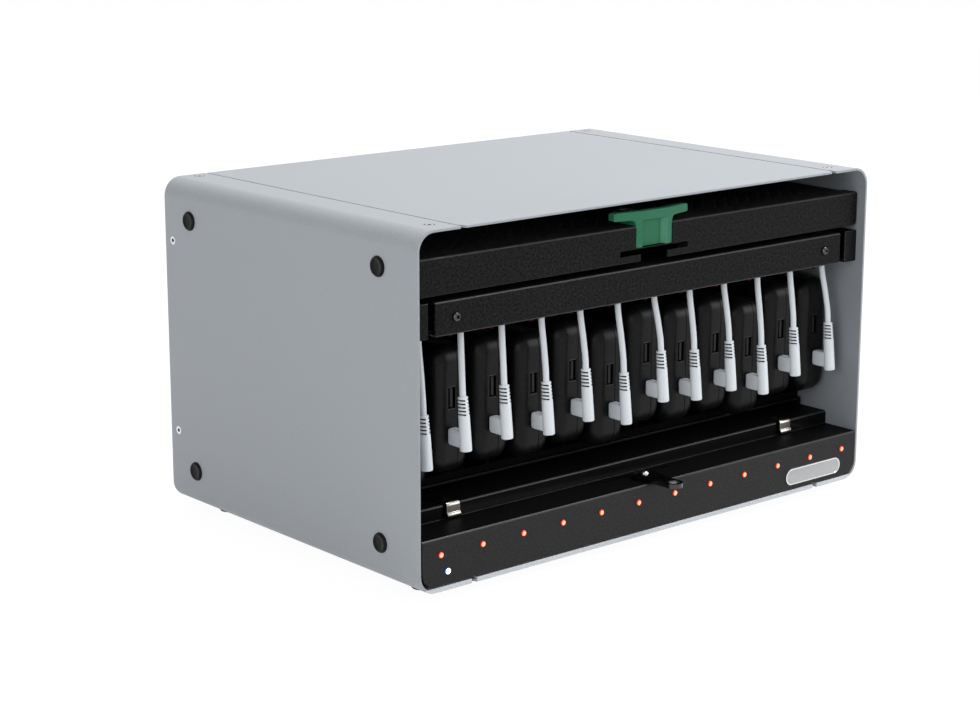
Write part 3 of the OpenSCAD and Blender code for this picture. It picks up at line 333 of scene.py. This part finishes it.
def add_piece(name, bm, finishes, body, replaced=(), sharp=30):
    """Makes a piece from a bmesh drawn in millimetres, which rides on a body and replaces nodes.

    Edges that turn by more than sharp degrees stay sharp in the shading."""
    bmesh.ops.scale(bm, vec=(MM, MM, MM), verts=bm.verts)
    bmesh.ops.recalc_face_normals(bm, faces=bm.faces)
    mesh = bpy.data.meshes.new(name)
    for f in bm.faces:
        f.smooth = True
    bm.to_mesh(mesh)
    bm.free()
    for m in finishes:
        mesh.materials.append(m)
    mesh.set_sharp_from_angle(angle=math.radians(sharp))
    piece = bpy.data.objects.new(name, mesh)
    scene.collection.objects.link(piece)
    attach(piece, body)
    if replaced:
        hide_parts(*replaced)
    return piece


def lathe(bm, profile, at=(0, 0, 0), turn=Matrix.Identity(3), steps=32, bands=None):
    """Turns (radius, height) points around the local Z axis; a radius of 0 closes an end.

    bands lists the finish of each band between two points, where it isn't the first finish."""
    at = Vector(at)
    rings = []
    for r, h in profile:
        if r == 0:
            rings.append([bm.verts.new(at + turn @ Vector((0, 0, h)))])
        else:
            rings.append([bm.verts.new(at + turn @ Vector((r * math.cos(a), r * math.sin(a), h)))
                          for a in (2 * math.pi * k / steps for k in range(steps))])
    for n, (a, b) in enumerate(zip(rings, rings[1:])):
        for k in range(steps):
            m = (k + 1) % steps
            quad = ([a[0], b[m], b[k]] if len(a) == 1 else [a[k], a[m], b[0]] if len(b) == 1
                    else [a[k], a[m], b[m], b[k]])
            bm.faces.new(quad).material_index = bands[n] if bands else 0


def rounded_box(bm, low, high, radii, n=5, extra_x=()):
    """A box whose corners are ellipsoids of the given half-axes, in n steps each.

    extra_x are (x from the middle, push in) rings, which follow the corners where x is on the curve."""
    low, high, radii = Vector(low), Vector(high), Vector(radii)
    mid, half = (low + high) / 2, (high - low) / 2
    inner = half - radii
    arc = [k / n for k in range(n + 1)]  # of 45 degrees
    rings = {}
    for x, depth in extra_x:
        over = (abs(x) - inner[0]) / radii[0]
        turn = math.degrees(math.atan(over / math.sqrt(1 - over * over))) / 45 if over > 0 else 0
        rings[(round(inner[0] if over > 0 else x, 4), round(turn, 4))] = depth
    axes = []
    for a in range(3):
        vals = [(-inner[a], -t) for t in reversed(arc)] + [(inner[a], t) for t in arc]
        if a == 0:
            vals = sorted({(round(c, 4), round(t, 4)) for c, t in vals} | set(rings))
        axes.append(vals)
    made = {}

    def vert(key, values):
        if key not in made:
            c = Vector([v[0] for v in values])
            t = Vector([math.tan(math.radians(45) * abs(v[1])) * (1 if v[1] > 0 else -1)
                        for v in values])
            t = t.normalized() if t.length else t
            p = mid + c + Vector([t[a] * radii[a] for a in range(3)])
            depth = rings.get(values[0], 0)
            if depth:
                out = Vector((0, t.y, t.z))
                p -= out.normalized() * depth if out.length else Vector()
            made[key] = bm.verts.new(p)
        return made[key]

    for a in range(3):
        b, c = (a + 1) % 3, (a + 2) % 3
        for end in (0, len(axes[a]) - 1):
            for i in range(len(axes[b]) - 1):
                for j in range(len(axes[c]) - 1):
                    loop = []
                    for di, dj in ((0, 0), (1, 0), (1, 1), (0, 1)):
                        key = [0, 0, 0]
                        key[a], key[b], key[c] = end, i + di, j + dj
                        loop.append(vert(tuple(key), [axes[k][key[k]] for k in range(3)]))
                    bm.faces.new(loop if end else loop[::-1])


# What counts as one vertex, as flat and as a sharp edge, and the form of an eased edge
WELD = 1e-6  # metres
FLAT_DEG = 0.6
SHARP_DEG = 32
MIN_EDGE = 0.6
EASE_PROFILE = 0.6


def from_node(node, width, pick=None):
    """A bmesh in millimetres with the node's solid and its longer sharp edges eased."""
    bm = bmesh.new()
    bm.from_mesh(nodes[node].data)
    bmesh.ops.remove_doubles(bm, verts=bm.verts, dist=WELD)
    bmesh.ops.scale(bm, vec=(1 / MM,) * 3, verts=bm.verts)
    bmesh.ops.dissolve_limit(bm, angle_limit=math.radians(FLAT_DEG), verts=bm.verts, edges=bm.edges,
                             use_dissolve_boundaries=False)
    for f in bm.faces:
        f.material_index = 0
    sharp = [e for e in bm.edges if len(e.link_faces) == 2 and e.calc_length() > MIN_EDGE
             and e.calc_face_angle(0) > math.radians(SHARP_DEG) and (pick is None or pick(e))]
    bmesh.ops.bevel(bm, geom=sharp, offset=width, segments=3, profile=EASE_PROFILE, affect="EDGES",
                    clamp_overlap=True)
    return bm


def box_of(bm, low, high, material=0):
    """A plain box from its low to its high corner."""
    low, high = Vector(low), Vector(high)
    m = Matrix.Translation((low + high) / 2) @ Matrix.Diagonal((*(high - low), 1))
    made = bmesh.ops.create_cube(bm, size=1, matrix=m)["verts"]
    for f in {f for v in made for f in v.link_faces}:
        f.material_index = material


# Leads and plugs ----------------------------------------------------------------------------

# The leads' shares of the way up and of the way across, the same as in the source
LEAD_STEPS = ((0, 0), (0.2, 0.06), (0.5, 0.42), (0.8, 0.9), (1, 1))


def plug_foot(i):
    return pack_z(i) + NUB_Z - NUB_UP


def plug_top(i):
    return Vector((plug_x(i), PLUG_Y + PLUG_LEN * math.sin(PLUG_LEAN),
                   plug_foot(i) + PLUG_LEN * math.cos(PLUG_LEAN)))


def lead_route(i):
    """The route's points from the source, from the grommet down to the plug."""
    a, b = plug_top(i), Vector((lead_x(i), LEAD_Y, RAIL_Z - GROMMET_T))
    pts = [Vector((a.x + (b.x - a.x) * m, a.y + (b.y - a.y) * (0.35 * s + 0.65 * m),
                   a.z + (b.z - a.z) * s)) for s, m in LEAD_STEPS]
    return pts[::-1]


def smooth_route(pts, per=4):
    """Catmull-Rom through the points, with the ends continued straight."""
    ext = [pts[0] * 2 - pts[1]] + pts + [pts[-1] * 2 - pts[-2]]
    out = []
    for k in range(1, len(ext) - 2):
        p0, p1, p2, p3 = ext[k - 1:k + 3]
        for s in range(per):
            t = s / per
            out.append(0.5 * (2 * p1 + (p2 - p0) * t + (2 * p0 - 5 * p1 + 4 * p2 - p3) * t * t
                              + (3 * p1 - p0 - 3 * p2 + p3) * t ** 3))
    return out + [pts[-1]]


TUBE_SIDES = 16


def tube(bm, route, radius):
    """A closed round tube along the route, whose rings stand square to it."""
    rings = []
    for k, p in enumerate(route):
        d = (route[min(k + 1, len(route) - 1)] - route[max(k - 1, 0)]).normalized()
        side = d.cross(Vector((0, 1, 0))).normalized()
        other = d.cross(side)
        rings.append([bm.verts.new(p + radius * (math.cos(a) * side + math.sin(a) * other))
                      for a in (2 * math.pi * s / TUBE_SIDES for s in range(TUBE_SIDES))])
    for a, b in zip(rings, rings[1:]):
        for s in range(TUBE_SIDES):
            m = (s + 1) % TUBE_SIDES
            bm.faces.new((a[s], a[m], b[m], b[s]))
    bm.faces.new(rings[0])
    bm.faces.new(rings[-1][::-1])


# The plug's strain relief: its height, its slots and the neck that carries them
RELIEF = 11.8
SLOTS = 5
SLOT_PITCH = 2.2
SLOT_FIRST = 0.4
SLOT_H = 1.0
SLOT_LIP = 0.08
SLOT_DEPTH = 1.05
NECK_R = PLUG_R - 0.25
NECK_TAPER = 0.42
PLUG_STEPS = 48
FAR_LIFT = 0.6


def on_near_side(degrees):
    """Whether the slots of the relief's near side reach this angle round the plug."""
    return 105 <= degrees <= 252


def on_far_side(degrees):
    """The same for the far side."""
    return degrees >= 292 or degrees <= 60


def plug_mesh(bm, i):
    """A moulded right-angle plug: tapered grip, slotted strain relief on top and a nub to the pack."""
    foot = Vector((plug_x(i), PLUG_Y, plug_foot(i)))
    lean = Matrix.Rotation(-PLUG_LEAN, 3, "X")
    body_top = PLUG_LEN - RELIEF
    lathe(bm, [(0, 0), (PLUG_R - 0.8, 0), (PLUG_R - 0.25, 0.22), (PLUG_R, 0.9), (PLUG_R - 0.02, 4),
               (PLUG_R - 0.22, body_top - 0.5), (NECK_R, body_top)], foot, lean, PLUG_STEPS)
    # the relief: open slots on each side of two solid ribs, those of the far side a little higher
    heights = [(0.0, False)]
    for n in range(SLOTS):
        for part, low in ((0.0, False), (SLOT_LIP, True), (SLOT_H, True), (SLOT_H + SLOT_LIP, False)):
            heights.append((SLOT_FIRST + n * SLOT_PITCH + part, low))
    heights.append((RELIEF, False))
    rows = []
    for h, low in heights:
        outer = NECK_R - NECK_TAPER * h / RELIEF
        row = []
        for k in range(PLUG_STEPS):
            a = 360 * k / PLUG_STEPS
            far = on_far_side(a)
            lift = 0.3 * math.cos(math.radians(a - 140)) + (FAR_LIFT if far else 0)
            r = outer - (SLOT_DEPTH if low and (on_near_side(a) or far) else 0.0)
            z = h + (lift if 0 < h < RELIEF else 0)
            a = math.radians(a)
            row.append(bm.verts.new(foot + lean @ Vector((r * math.cos(a), r * math.sin(a),
                                                          body_top + z))))
        rows.append(row)
    for n, (a, b) in enumerate(zip(rows, rows[1:])):
        slot_floor = heights[n][1] and heights[n + 1][1]
        for k in range(PLUG_STEPS):
            m = (k + 1) % PLUG_STEPS
            f = bm.faces.new((a[k], a[m], b[m], b[k]))
            angle = 360 * (k + 0.5) / PLUG_STEPS
            # the slot floors take the second finish, painted shade
            if slot_floor and (on_near_side(angle) or on_far_side(angle)):
                f.material_index = 1
    bm.faces.new(rows[-1])
    bm.faces.new(rows[0][::-1])
    rounded_box(bm, (foot.x - 3, PLUG_Y - 1, foot.z + NUB_UP - 5.4),
                (foot.x + 3, PACK_Y - 0.3, foot.z + NUB_UP + 5.1), (0.9, 2.2, 2.2))
    box_of(bm, (foot.x - 1.6, PACK_Y - 1, foot.z + NUB_UP - 3.4),
           (foot.x + 1.6, PACK_Y, foot.z + NUB_UP + 3.4))


for i in range(BAYS):
    bm = bmesh.new()
    plug_mesh(bm, i)
    plug = add_piece(f"plug_{i + 1}", bm, [lead_white, slot_shade], "cabinet",
                     ("lead_plugs",), sharp=40)
    route = smooth_route(lead_route(i))
    bm = bmesh.new()
    tube(bm, route, LEAD_DIA / 2)
    lead = add_piece(f"lead_{i + 1}", bm, [lead_white], "cabinet", ("charging_leads",))


# Battery packs ------------------------------------------------------------------------------

# A port in the pack's front: width and height of its opening, its place, and how deep its pieces reach
PORT = (6.8, 14.6)
PORT_Z = 49.1
PORT_SIDE = 1.2
PORT_DEPTH = 8.0
PORT_WALL = 0.45
PORT_BACK = 7.6
PORT_FILL = 7.9
SEAMS = ((3.2, 0.35), (PACK[0] / 2 - 4.6, 0.55))


def pack_mesh(i):
    """A pack with its two long shell seams, (x from the middle, depth), cut in as grooves."""
    x, z = pack_x(i), pack_z(i)
    w, d, h = PACK
    bm = bmesh.new()
    grooves = []
    for at, deep in SEAMS:
        grooves += [(at - 0.3, 0.0), (at - 0.12, deep), (at + 0.12, deep), (at + 0.3, 0.0)]
    rounded_box(bm, (x - w / 2, PACK_Y, z), (x + w / 2, PACK_Y + d, z + h), PACK_RADII, 8, grooves)
    return bm


def apply_modifiers(piece):
    """Leaves what the modifiers make of the piece in its mesh."""
    bpy.context.view_layer.update()
    graph = bpy.context.evaluated_depsgraph_get()
    result = bpy.data.meshes.new_from_object(piece.evaluated_get(graph))
    piece.modifiers.clear()
    piece.data = result


def cut_away(piece, low, high):
    """Cuts a box out of a piece and leaves the result in its mesh."""
    bm = bmesh.new()
    box_of(bm, Vector(low) * MM, Vector(high) * MM)
    mesh = bpy.data.meshes.new("cutter")
    bm.to_mesh(mesh)
    bm.free()
    cutter = bpy.data.objects.new("cutter", mesh)
    scene.collection.objects.link(cutter)
    mod = piece.modifiers.new("cut", "BOOLEAN")
    mod.operation = "DIFFERENCE"
    mod.solver = "EXACT"
    mod.object = cutter
    apply_modifiers(piece)
    bpy.data.objects.remove(cutter)


for i in range(BAYS):
    pack = add_piece(f"pack_{i + 1}", pack_mesh(i), [pack_black], "cabinet",
                     (f"battery_pack_{i + 1}",), sharp=35)
    x, z = pack_x(i) - PORT_SIDE, pack_z(i) + PORT_Z
    px, pz = PORT[0] / 2, PORT[1] / 2
    cut_away(pack, (x - px, PACK_Y - 1, z - pz), (x + px, PACK_Y + PORT_DEPTH, z + pz))
    bm = bmesh.new()
    for a, b in (((-px, -pz), (-px + PORT_WALL, pz)), ((px - PORT_WALL, -pz), (px, pz)),
                 ((-px, -pz), (px, -pz + PORT_WALL)), ((-px, pz - PORT_WALL), (px, pz))):
        box_of(bm, (x + a[0], PACK_Y + 0.35, z + a[1]), (x + b[0], PACK_Y + PORT_FILL, z + b[1]))
    box_of(bm, (x - 0.6, PACK_Y + 1.2, z - pz + 1.3), (x + 1.3, PACK_Y + PORT_FILL, z + pz - 1.3), 2)
    box_of(bm, (x - px, PACK_Y + PORT_BACK, z - pz), (x + px, PACK_Y + PORT_FILL, z + pz), 1)
    add_piece(f"port_{i + 1}", bm, [port_metal, port_dark, port_tongue], "cabinet")


# Sheet metal with eased edges ---------------------------------------------------------------

def at_ends(e):
    """The edges of the case's open front and rear."""
    ys = [v.co.y for v in e.verts]
    return max(ys) < FRONT + 0.02 or min(ys) > REAR - 0.02


def in_front(e):
    """The edges of the stowed door's front flange, below its plate."""
    return max(v.co.y for v in e.verts) < FRONT + 9 and max(v.co.z for v in e.verts) < 211


def edge_finish(bm):
    """Gives the rounded edges the second finish, a lighter copy of the paint as a painted highlight."""
    bm.normal_update()
    for f in bm.faces:
        if max(abs(c) for c in f.normal) < 0.9:
            f.material_index = 1


def tray_finish(bm):
    """The face keeps the first finish; the ledge, step and deck behind it get the third, a darker black
    as painted shade.
    """
    edge_finish(bm)
    for f in bm.faces:
        behind = f.calc_center_median().y > FRONT + 3
        if f.material_index == 0 and (f.normal.z > 0.9 or behind):
            f.material_index = 2


def panel_finish(bm):
    """The front edge gets the second finish, inner faces and joggle the third (painted shade), the hem
    the fourth (a painted highlight).
    """
    bmesh.ops.bisect_plane(bm, geom=bm.verts[:] + bm.edges[:] + bm.faces[:], dist=0.001,
                           plane_co=(0, 0, UNDER + HEM_H), plane_no=(0, 0, 1))
    bm.normal_update()
    for f in bm.faces:
        at = f.calc_center_median()
        if at.y < FRONT + 0.35 and f.normal.y < -0.5:
            f.material_index = 3 if at.z < UNDER + HEM_H else 1
            continue
        joggle = (f.normal.z > 0.9 and TOP - 2 * SHEET < at.z < TOP - SHEET + 0.1
                  and abs(at.x) < ROOF_SCREW_X)
        inside = (abs(at.x) > ROOF_SCREW_X
                  and min(f.normal.x * at.x, f.normal.z * (at.z - MID_Z)) < -0.3)
        if joggle or inside:
            f.material_index = 2


def eye_finish(bm):
    """The rim and the bore of the eye take bare steel as a painted highlight."""
    bm.normal_update()
    for f in bm.faces:
        at = f.calc_center_median()
        if abs(f.normal.z) < 0.95 and math.hypot(at.x, at.y - EYE_Y) < 5:
            f.material_index = 1


def clear_of_slot(e):
    """All edges but those of the slot between the tray's ledge and step."""
    return not all(abs(v.co.y - SLOT_Y) < 3 and v.co.z < LEDGE_Z + 1 for v in e.verts)


def body_of(node):
    bodies = frame["record"]["behaviour"]["bodies"]
    return next(b for b, members in bodies.items() if node in members)


SIDE = (side_paint, cut_edge, inner_shade_paint, hem_highlight_paint)
FLOOR = (floor_paint, cut_edge, seam_shade, hem_highlight_paint)
ROOF = (roof_paint, cut_edge, seam_shade)
TRAY = (black_paint, black_edge_highlight, ledge_shade_paint)
DOOR = (door_paint, black_edge_highlight)

# Node, its finishes and slot, the width of the easing, which edges, and what gives out the finishes
EASED = (
    ("left_side_panel", SIDE, "side_paint", 0.25, at_ends, panel_finish),
    ("right_side_panel", SIDE, "side_paint", 0.25, at_ends, panel_finish),
    ("floor_panel", FLOOR, "floor_paint", 0.25, at_ends, panel_finish),
    ("roof_panel", ROOF, "roof_paint", 0.25, None, panel_finish),
    ("front_tray", TRAY, "black_paint", 0.35, clear_of_slot, tray_finish),
    ("lead_bar", DOOR, "door_paint", 0.5, None, edge_finish),
    ("left_bar_bracket", DOOR, "door_paint", 0.6, None, edge_finish),
    ("right_bar_bracket", DOOR, "door_paint", 0.6, None, edge_finish),
    ("rack_shelf", (shadow_paint, black_edge_highlight), "black_paint", 0.25, None, edge_finish),
    ("door_panel", DOOR, "door_paint", 0.3, in_front, edge_finish),
    ("door_handle", (green_plastic, green_edge_highlight), "green_plastic", 0.8, None, edge_finish),
    ("hasp_tongue", (gloss_black, eye_highlight_steel), "door_paint", 0.8, None, eye_finish))

for n, finishes, slot, width, pick, give_out in EASED:
    bm = from_node(n, width, pick)
    give_out(bm)
    piece = add_piece(n + "_eased", bm, finishes, body_of(n), (n,))
    # large flat faces rule the shading beside their eased edges
    piece.modifiers.new("weighted", "WEIGHTED_NORMAL").keep_sharp = True
    apply_modifiers(piece)

# A catch's front from its foot to its free end: y from the step, z, finish of the stretch that follows
CATCH_LINE = (
    (1.8, 51.2, 2), (0.2, 51.2, 2), (-0.6, 50.9, 0), (-1.15, 50.3, 0), (-1.35, 49.6, 1),
    (-1.45, 45.7, 1), (-1.6, 45.1, 0), (-2.0, 44.6, 0), (-2.45, 44.0, 0), (-2.6, 43.5, 0),
    (-2.5, 43.0, 0), (-2.2, 42.35, 0))
CATCH_T = 0.8
CATCH_X = {"left_catch": -151.6, "right_catch": 152.5}
END_TAPER = 0.5
RIM_EASE = 0.15


def catch_mesh(bm, x):
    """A spring strip that drops in front of the step and bulges out over the ledge; its flat face takes
    a darker steel as painted shade, the bulge stays bright.
    """
    path = [Vector((0, STEP_Y + y, z)) for y, z, _ in CATCH_LINE]
    rows = []
    for k, at in enumerate(path):
        along = (path[min(k + 1, len(path) - 1)] - path[max(k - 1, 0)]).normalized()
        back = at + Vector((0, -along.z, along.y)) * -CATCH_T
        half = CATCH_W / 2 - (END_TAPER if k == len(path) - 1 else 0)
        rows.append([bm.verts.new((x + side * half, p.y, p.z))
                     for p, side in ((at, -1), (at, 1), (back, 1), (back, -1))])
    for a, b, (_, _, finish) in zip(rows, rows[1:], CATCH_LINE):
        for k in range(4):
            m = (k + 1) % 4
            bm.faces.new((a[k], a[m], b[m], b[k])).material_index = finish
    bm.faces.new(rows[0]).material_index = 2
    bm.faces.new(rows[-1])


def is_rim(e):
    """A sharp edge along one side of the strip."""
    return len({round(v.co.x, 3) for v in e.verts}) == 1 and e.calc_face_angle(0) > 1.2


for name, x in CATCH_X.items():
    bm = bmesh.new()
    catch_mesh(bm, x)
    bmesh.ops.recalc_face_normals(bm, faces=bm.faces)
    rims = [e for e in bm.edges if is_rim(e)]
    bmesh.ops.bevel(bm, geom=rims, offset=RIM_EASE, segments=2, profile=EASE_PROFILE, affect="EDGES",
                    clamp_overlap=True)
    add_piece(name + "_strip", bm, [catch_steel, catch_shade_steel, shadow_paint], body_of(name),
              (name,))


# Lamps, badge and small screws ----------------------------------------------------------------

FACING = Matrix.Rotation(math.radians(90), 3, "X")

# A lens: radius, reach in front of the face, shift of the middle, finish of the band up to the next ring
LENS = ((2.0, -0.6, 0, 0), (2.0, 0.3, 0, 0), (1.8, 0.75, 0, 1), (1.35, 1.1, -0.1, 2),
        (0.85, 1.25, -0.2, 2), (0.35, 1.3, -0.2, 2))
LENS_STEPS = 24


def lamp_mesh(bm, x, z, core_x):
    """A lens in the tray's face with a dark rim and a bright middle, which core_x moves to one side."""
    rings = []
    for r, reach, shift, _ in LENS:
        rings.append([bm.verts.new(Vector((x + core_x * shift, FRONT, z - 0.3 * shift))
                                   + FACING @ Vector((r * math.cos(a), r * math.sin(a), reach)))
                      for a in (2 * math.pi * k / LENS_STEPS for k in range(LENS_STEPS))])
    for a, b, (_, _, _, finish) in zip(rings, rings[1:], LENS):
        for k in range(LENS_STEPS):
            m = (k + 1) % LENS_STEPS
            bm.faces.new((a[k], a[m], b[m], b[k])).material_index = finish
    bm.faces.new(rings[-1]).material_index = LENS[-1][3]


bm = bmesh.new()
for i in range(BAYS):
    lamp_mesh(bm, (i - (BAYS - 1) / 2) * LAMP_PITCH, LAMP_Z, 1.5)
add_piece("status_lenses", bm, [red_lens, red_mid, red_core], "cabinet")
bm = bmesh.new()
lamp_mesh(bm, POWER_LAMP[0], POWER_LAMP[1], -1.0)
add_piece("power_lens", bm, [white_lens, white_core, white_core], "cabinet")


# The badge's rings: inset from its outline, reach in front of the face; the first bands are its rim
BADGE_RINGS = ((0, 0), (0, 0.9), (0.25, 1.15), (0.75, 1.2), (0.95, 0.95), (1.15, 0.9))
RIM_BANDS = 4


def pill(bm, width, height, y, steps=12):
    """A ring of vertices around the badge's outline."""
    r = height / 2
    x, z = BADGE[:2]
    return [bm.verts.new((x + s * (width / 2 - r) + r * math.cos(a), y, z + r * math.sin(a)))
            for s, start in ((1, -90), (-1, 90))
            for a in (math.radians(start + 180 * k / steps) for k in range(steps + 1))]


bm = bmesh.new()
rings = [pill(bm, BADGE[2] - 2 * inset, BADGE[3] - 2 * inset, FRONT - reach)
         for inset, reach in BADGE_RINGS]
for n, (a, b) in enumerate(zip(rings, rings[1:])):
    for k in range(len(a)):
        m = (k + 1) % len(a)
        bm.faces.new((a[k], a[m], b[m], b[k])).material_index = 1 if n < RIM_BANDS else 0
bm.faces.new(rings[-1])
add_piece("badge_face", bm, [badge_satin, badge_rim], "cabinet", ("badge_plate",))

# (radius, height) profiles of screws and plugs, from the outer end inwards
HASP_HEAD = ((0, 1.75), (0.8, 1.65), (1.6, 1.4), (2.3, 0.95), (2.75, 0.4), (2.9, 0), (2, -0.15),
             (2, -10.6), (0, -10.6))
HASP_NUT = ((0, -5), (3.5, -5), (3.5, -8.2), (0, -8.2))
SOCKET_HEAD = ((0, 0.4), (1.15, 0.4), (1.2, 1.95), (1.7, 2.05), (2.3, 1.75), (2.8, 1.2), (3.0, 0.5),
               (3.0, 0), (1.9, -0.1), (1.9, -7), (0, -7))
# the bands of finish 1 are painted shade in the socket and the seat
SOCKET_BANDS = (1, 1, 0, 0, 0, 0, 0, 0, 0, 0)
SUNK_BANDS = (1, 1, 0, 0, 1, 1, 1, 0, 0, 0)
DISH = ((0, 1.1), (2.0, 1.05), (3.4, 1.15), (4.5, 1.55), (5.1, 1.75), (5.7, 1.6), (6.3, 0.9), (6.5, 0.2),
        (6.5, 0), (4.4, -0.1), (4.4, -2.4), (0, -2.4))

bm = bmesh.new()
lathe(bm, HASP_HEAD, (0, HASP_Y, HASP_TOP))
lathe(bm, HASP_NUT, (0, HASP_Y, HASP_TOP), steps=6)
add_piece("hasp_dome_screw", bm, [bright_screw], "cabinet", ("hasp_screw",))


def sunk_screw(bm, at, turn, head_r, seat_r, length):
    """A countersunk screw, whose head of radius head_r lies low in a seat of radius seat_r, painted dark
    as painted shade.
    """
    profile = ((0, -1.0), (1.1, -1.0), (1.25, -0.25), (head_r - 0.25, -0.05), (head_r, -0.15),
               (head_r + 0.05, -0.4), (seat_r, -0.3), (seat_r, -0.6), (1.6, -1.25), (1.6, -length),
               (0, -length))
    lathe(bm, profile, at, turn, 28, SUNK_BANDS)


OUTWARD = {s: Matrix.Rotation(math.radians(90 * s), 3, "Y") for s in (-1, 1)}

bm = bmesh.new()
for s in (-1, 1):
    for y in ROOF_SCREW_Y:
        sunk_screw(bm, (s * ROOF_SCREW_X, y, TOP), Matrix.Identity(3), 2.6, 3.8, 3.4)
add_piece("roof_screw_heads", bm, [roof_screw, socket_shade], "cabinet", ("roof_screws",))
bm = bmesh.new()
for s in (-1, 1):
    for z in SIDE_SCREW_Z:
        sunk_screw(bm, (s * HALF_W, SIDE_SCREW_Y, z), OUTWARD[s], 3.0, 3.22, 5)
add_piece("side_screw_heads", bm, [bright_screw, socket_shade], "cabinet",
          ("side_screws",))
bm = bmesh.new()
for s in (-1, 1):
    lathe(bm, SOCKET_HEAD, (s * BAR_SCREW[0], BAR_SCREW[1], BAR_SCREW[2]), FACING, 30, SOCKET_BANDS)
add_piece("bar_screw_heads", bm, [dark_screw, socket_shade], "cabinet", ("bar_screws",))

bm = bmesh.new()
for s in (-1, 1):
    for y in SIDE_PLUG_Y:
        for z in SIDE_PLUG_Z:
            lathe(bm, DISH, (s * HALF_W, y, z), OUTWARD[s], 36)
add_piece("dished_plugs", bm, [plug_rubber], "cabinet", ("side_plugs",))


# Stage --------------------------------------------------------------------------------------

def emission_mix(tree, plain, seen):
    """Joins a plain shader with the one that the camera and mirrors see."""
    new, link = tree.nodes.new, tree.links.new
    path = new("ShaderNodeLightPath")
    either = path.outputs["Is Camera Ray"]
    for name in ("Is Glossy Ray", "Is Transmission Ray"):
        top = new("ShaderNodeMath")
        top.operation = "MAXIMUM"
        link(either, top.inputs[0])
        link(path.outputs[name], top.inputs[1])
        either = top.outputs["Value"]
    mix = new("ShaderNodeMixShader")
    link(either, mix.inputs["Fac"])
    link(plain, mix.inputs[1])
    link(seen, mix.inputs[2])
    return mix.outputs["Shader"]


FLOOR_COLOR = (0.75, 0.76, 0.77, 1)
SEEN_COLOR = (0.12, 0.12, 0.12, 1)  # takes the shadow where the floor is seen
SEEN_GLOW = 0.95
FLOOR_SIZE = 6  # metres
WORLD_COLOR = (0.95, 0.97, 1.0, 1)
WORLD_LIGHT = 0.36

floor_mat = bpy.data.materials.new("stage_floor")
floor_mat.use_nodes = True
tree = floor_mat.node_tree
tree.nodes.remove(tree.nodes["Principled BSDF"])
plain = tree.nodes.new("ShaderNodeBsdfDiffuse")
plain.inputs["Color"].default_value = FLOOR_COLOR
faint = tree.nodes.new("ShaderNodeBsdfDiffuse")
faint.inputs["Color"].default_value = SEEN_COLOR
white = tree.nodes.new("ShaderNodeEmission")
white.inputs["Strength"].default_value = SEEN_GLOW
both = tree.nodes.new("ShaderNodeAddShader")
tree.links.new(faint.outputs[0], both.inputs[0])
tree.links.new(white.outputs[0], both.inputs[1])
tree.links.new(emission_mix(tree, plain.outputs[0], both.outputs[0]),
               tree.nodes["Material Output"].inputs["Surface"])
bm = bmesh.new()
bmesh.ops.create_grid(bm, x_segments=1, y_segments=1, size=FLOOR_SIZE)
floor_mesh = bpy.data.meshes.new("stage_floor")
bm.to_mesh(floor_mesh)
bm.free()
floor_mesh.materials.append(floor_mat)
stage_floor = bpy.data.objects.new("stage_floor", floor_mesh)
scene.collection.objects.link(stage_floor)

world = bpy.data.worlds.new("world")
scene.world = world
world.use_nodes = True
tree = world.node_tree
dim = tree.nodes["Background"]
dim.inputs["Color"].default_value = WORLD_COLOR
dim.inputs["Strength"].default_value = WORLD_LIGHT
bright = tree.nodes.new("ShaderNodeBackground")
bright.inputs["Strength"].default_value = 1.0
tree.links.new(emission_mix(tree, dim.outputs[0], bright.outputs[0]),
               tree.nodes["World Output"].inputs["Surface"])


def soft_box(name, at, aim, size, power):
    """A square area lamp of the given size in metres and power in watts."""
    data = bpy.data.lights.new(name, "AREA")
    data.shape = "RECTANGLE"
    data.size = data.size_y = size
    data.energy = power
    lamp = bpy.data.objects.new(name, data)
    lamp.location = at
    lamp.rotation_euler = (Vector(aim) - Vector(at)).to_track_quat("-Z", "Y").to_euler()
    scene.collection.objects.link(lamp)


soft_box("key_top", (0.9, -0.2, 2.1), (0, 0, 0.2), 1.4, 44)
soft_box("fill_front", (1.7, -1.8, 0.9), (0, 0, 0.12), 1.0, 13)
soft_box("fill_left", (-1.9, -1.0, 0.7), (0, 0, 0.12), 1.0, 11)
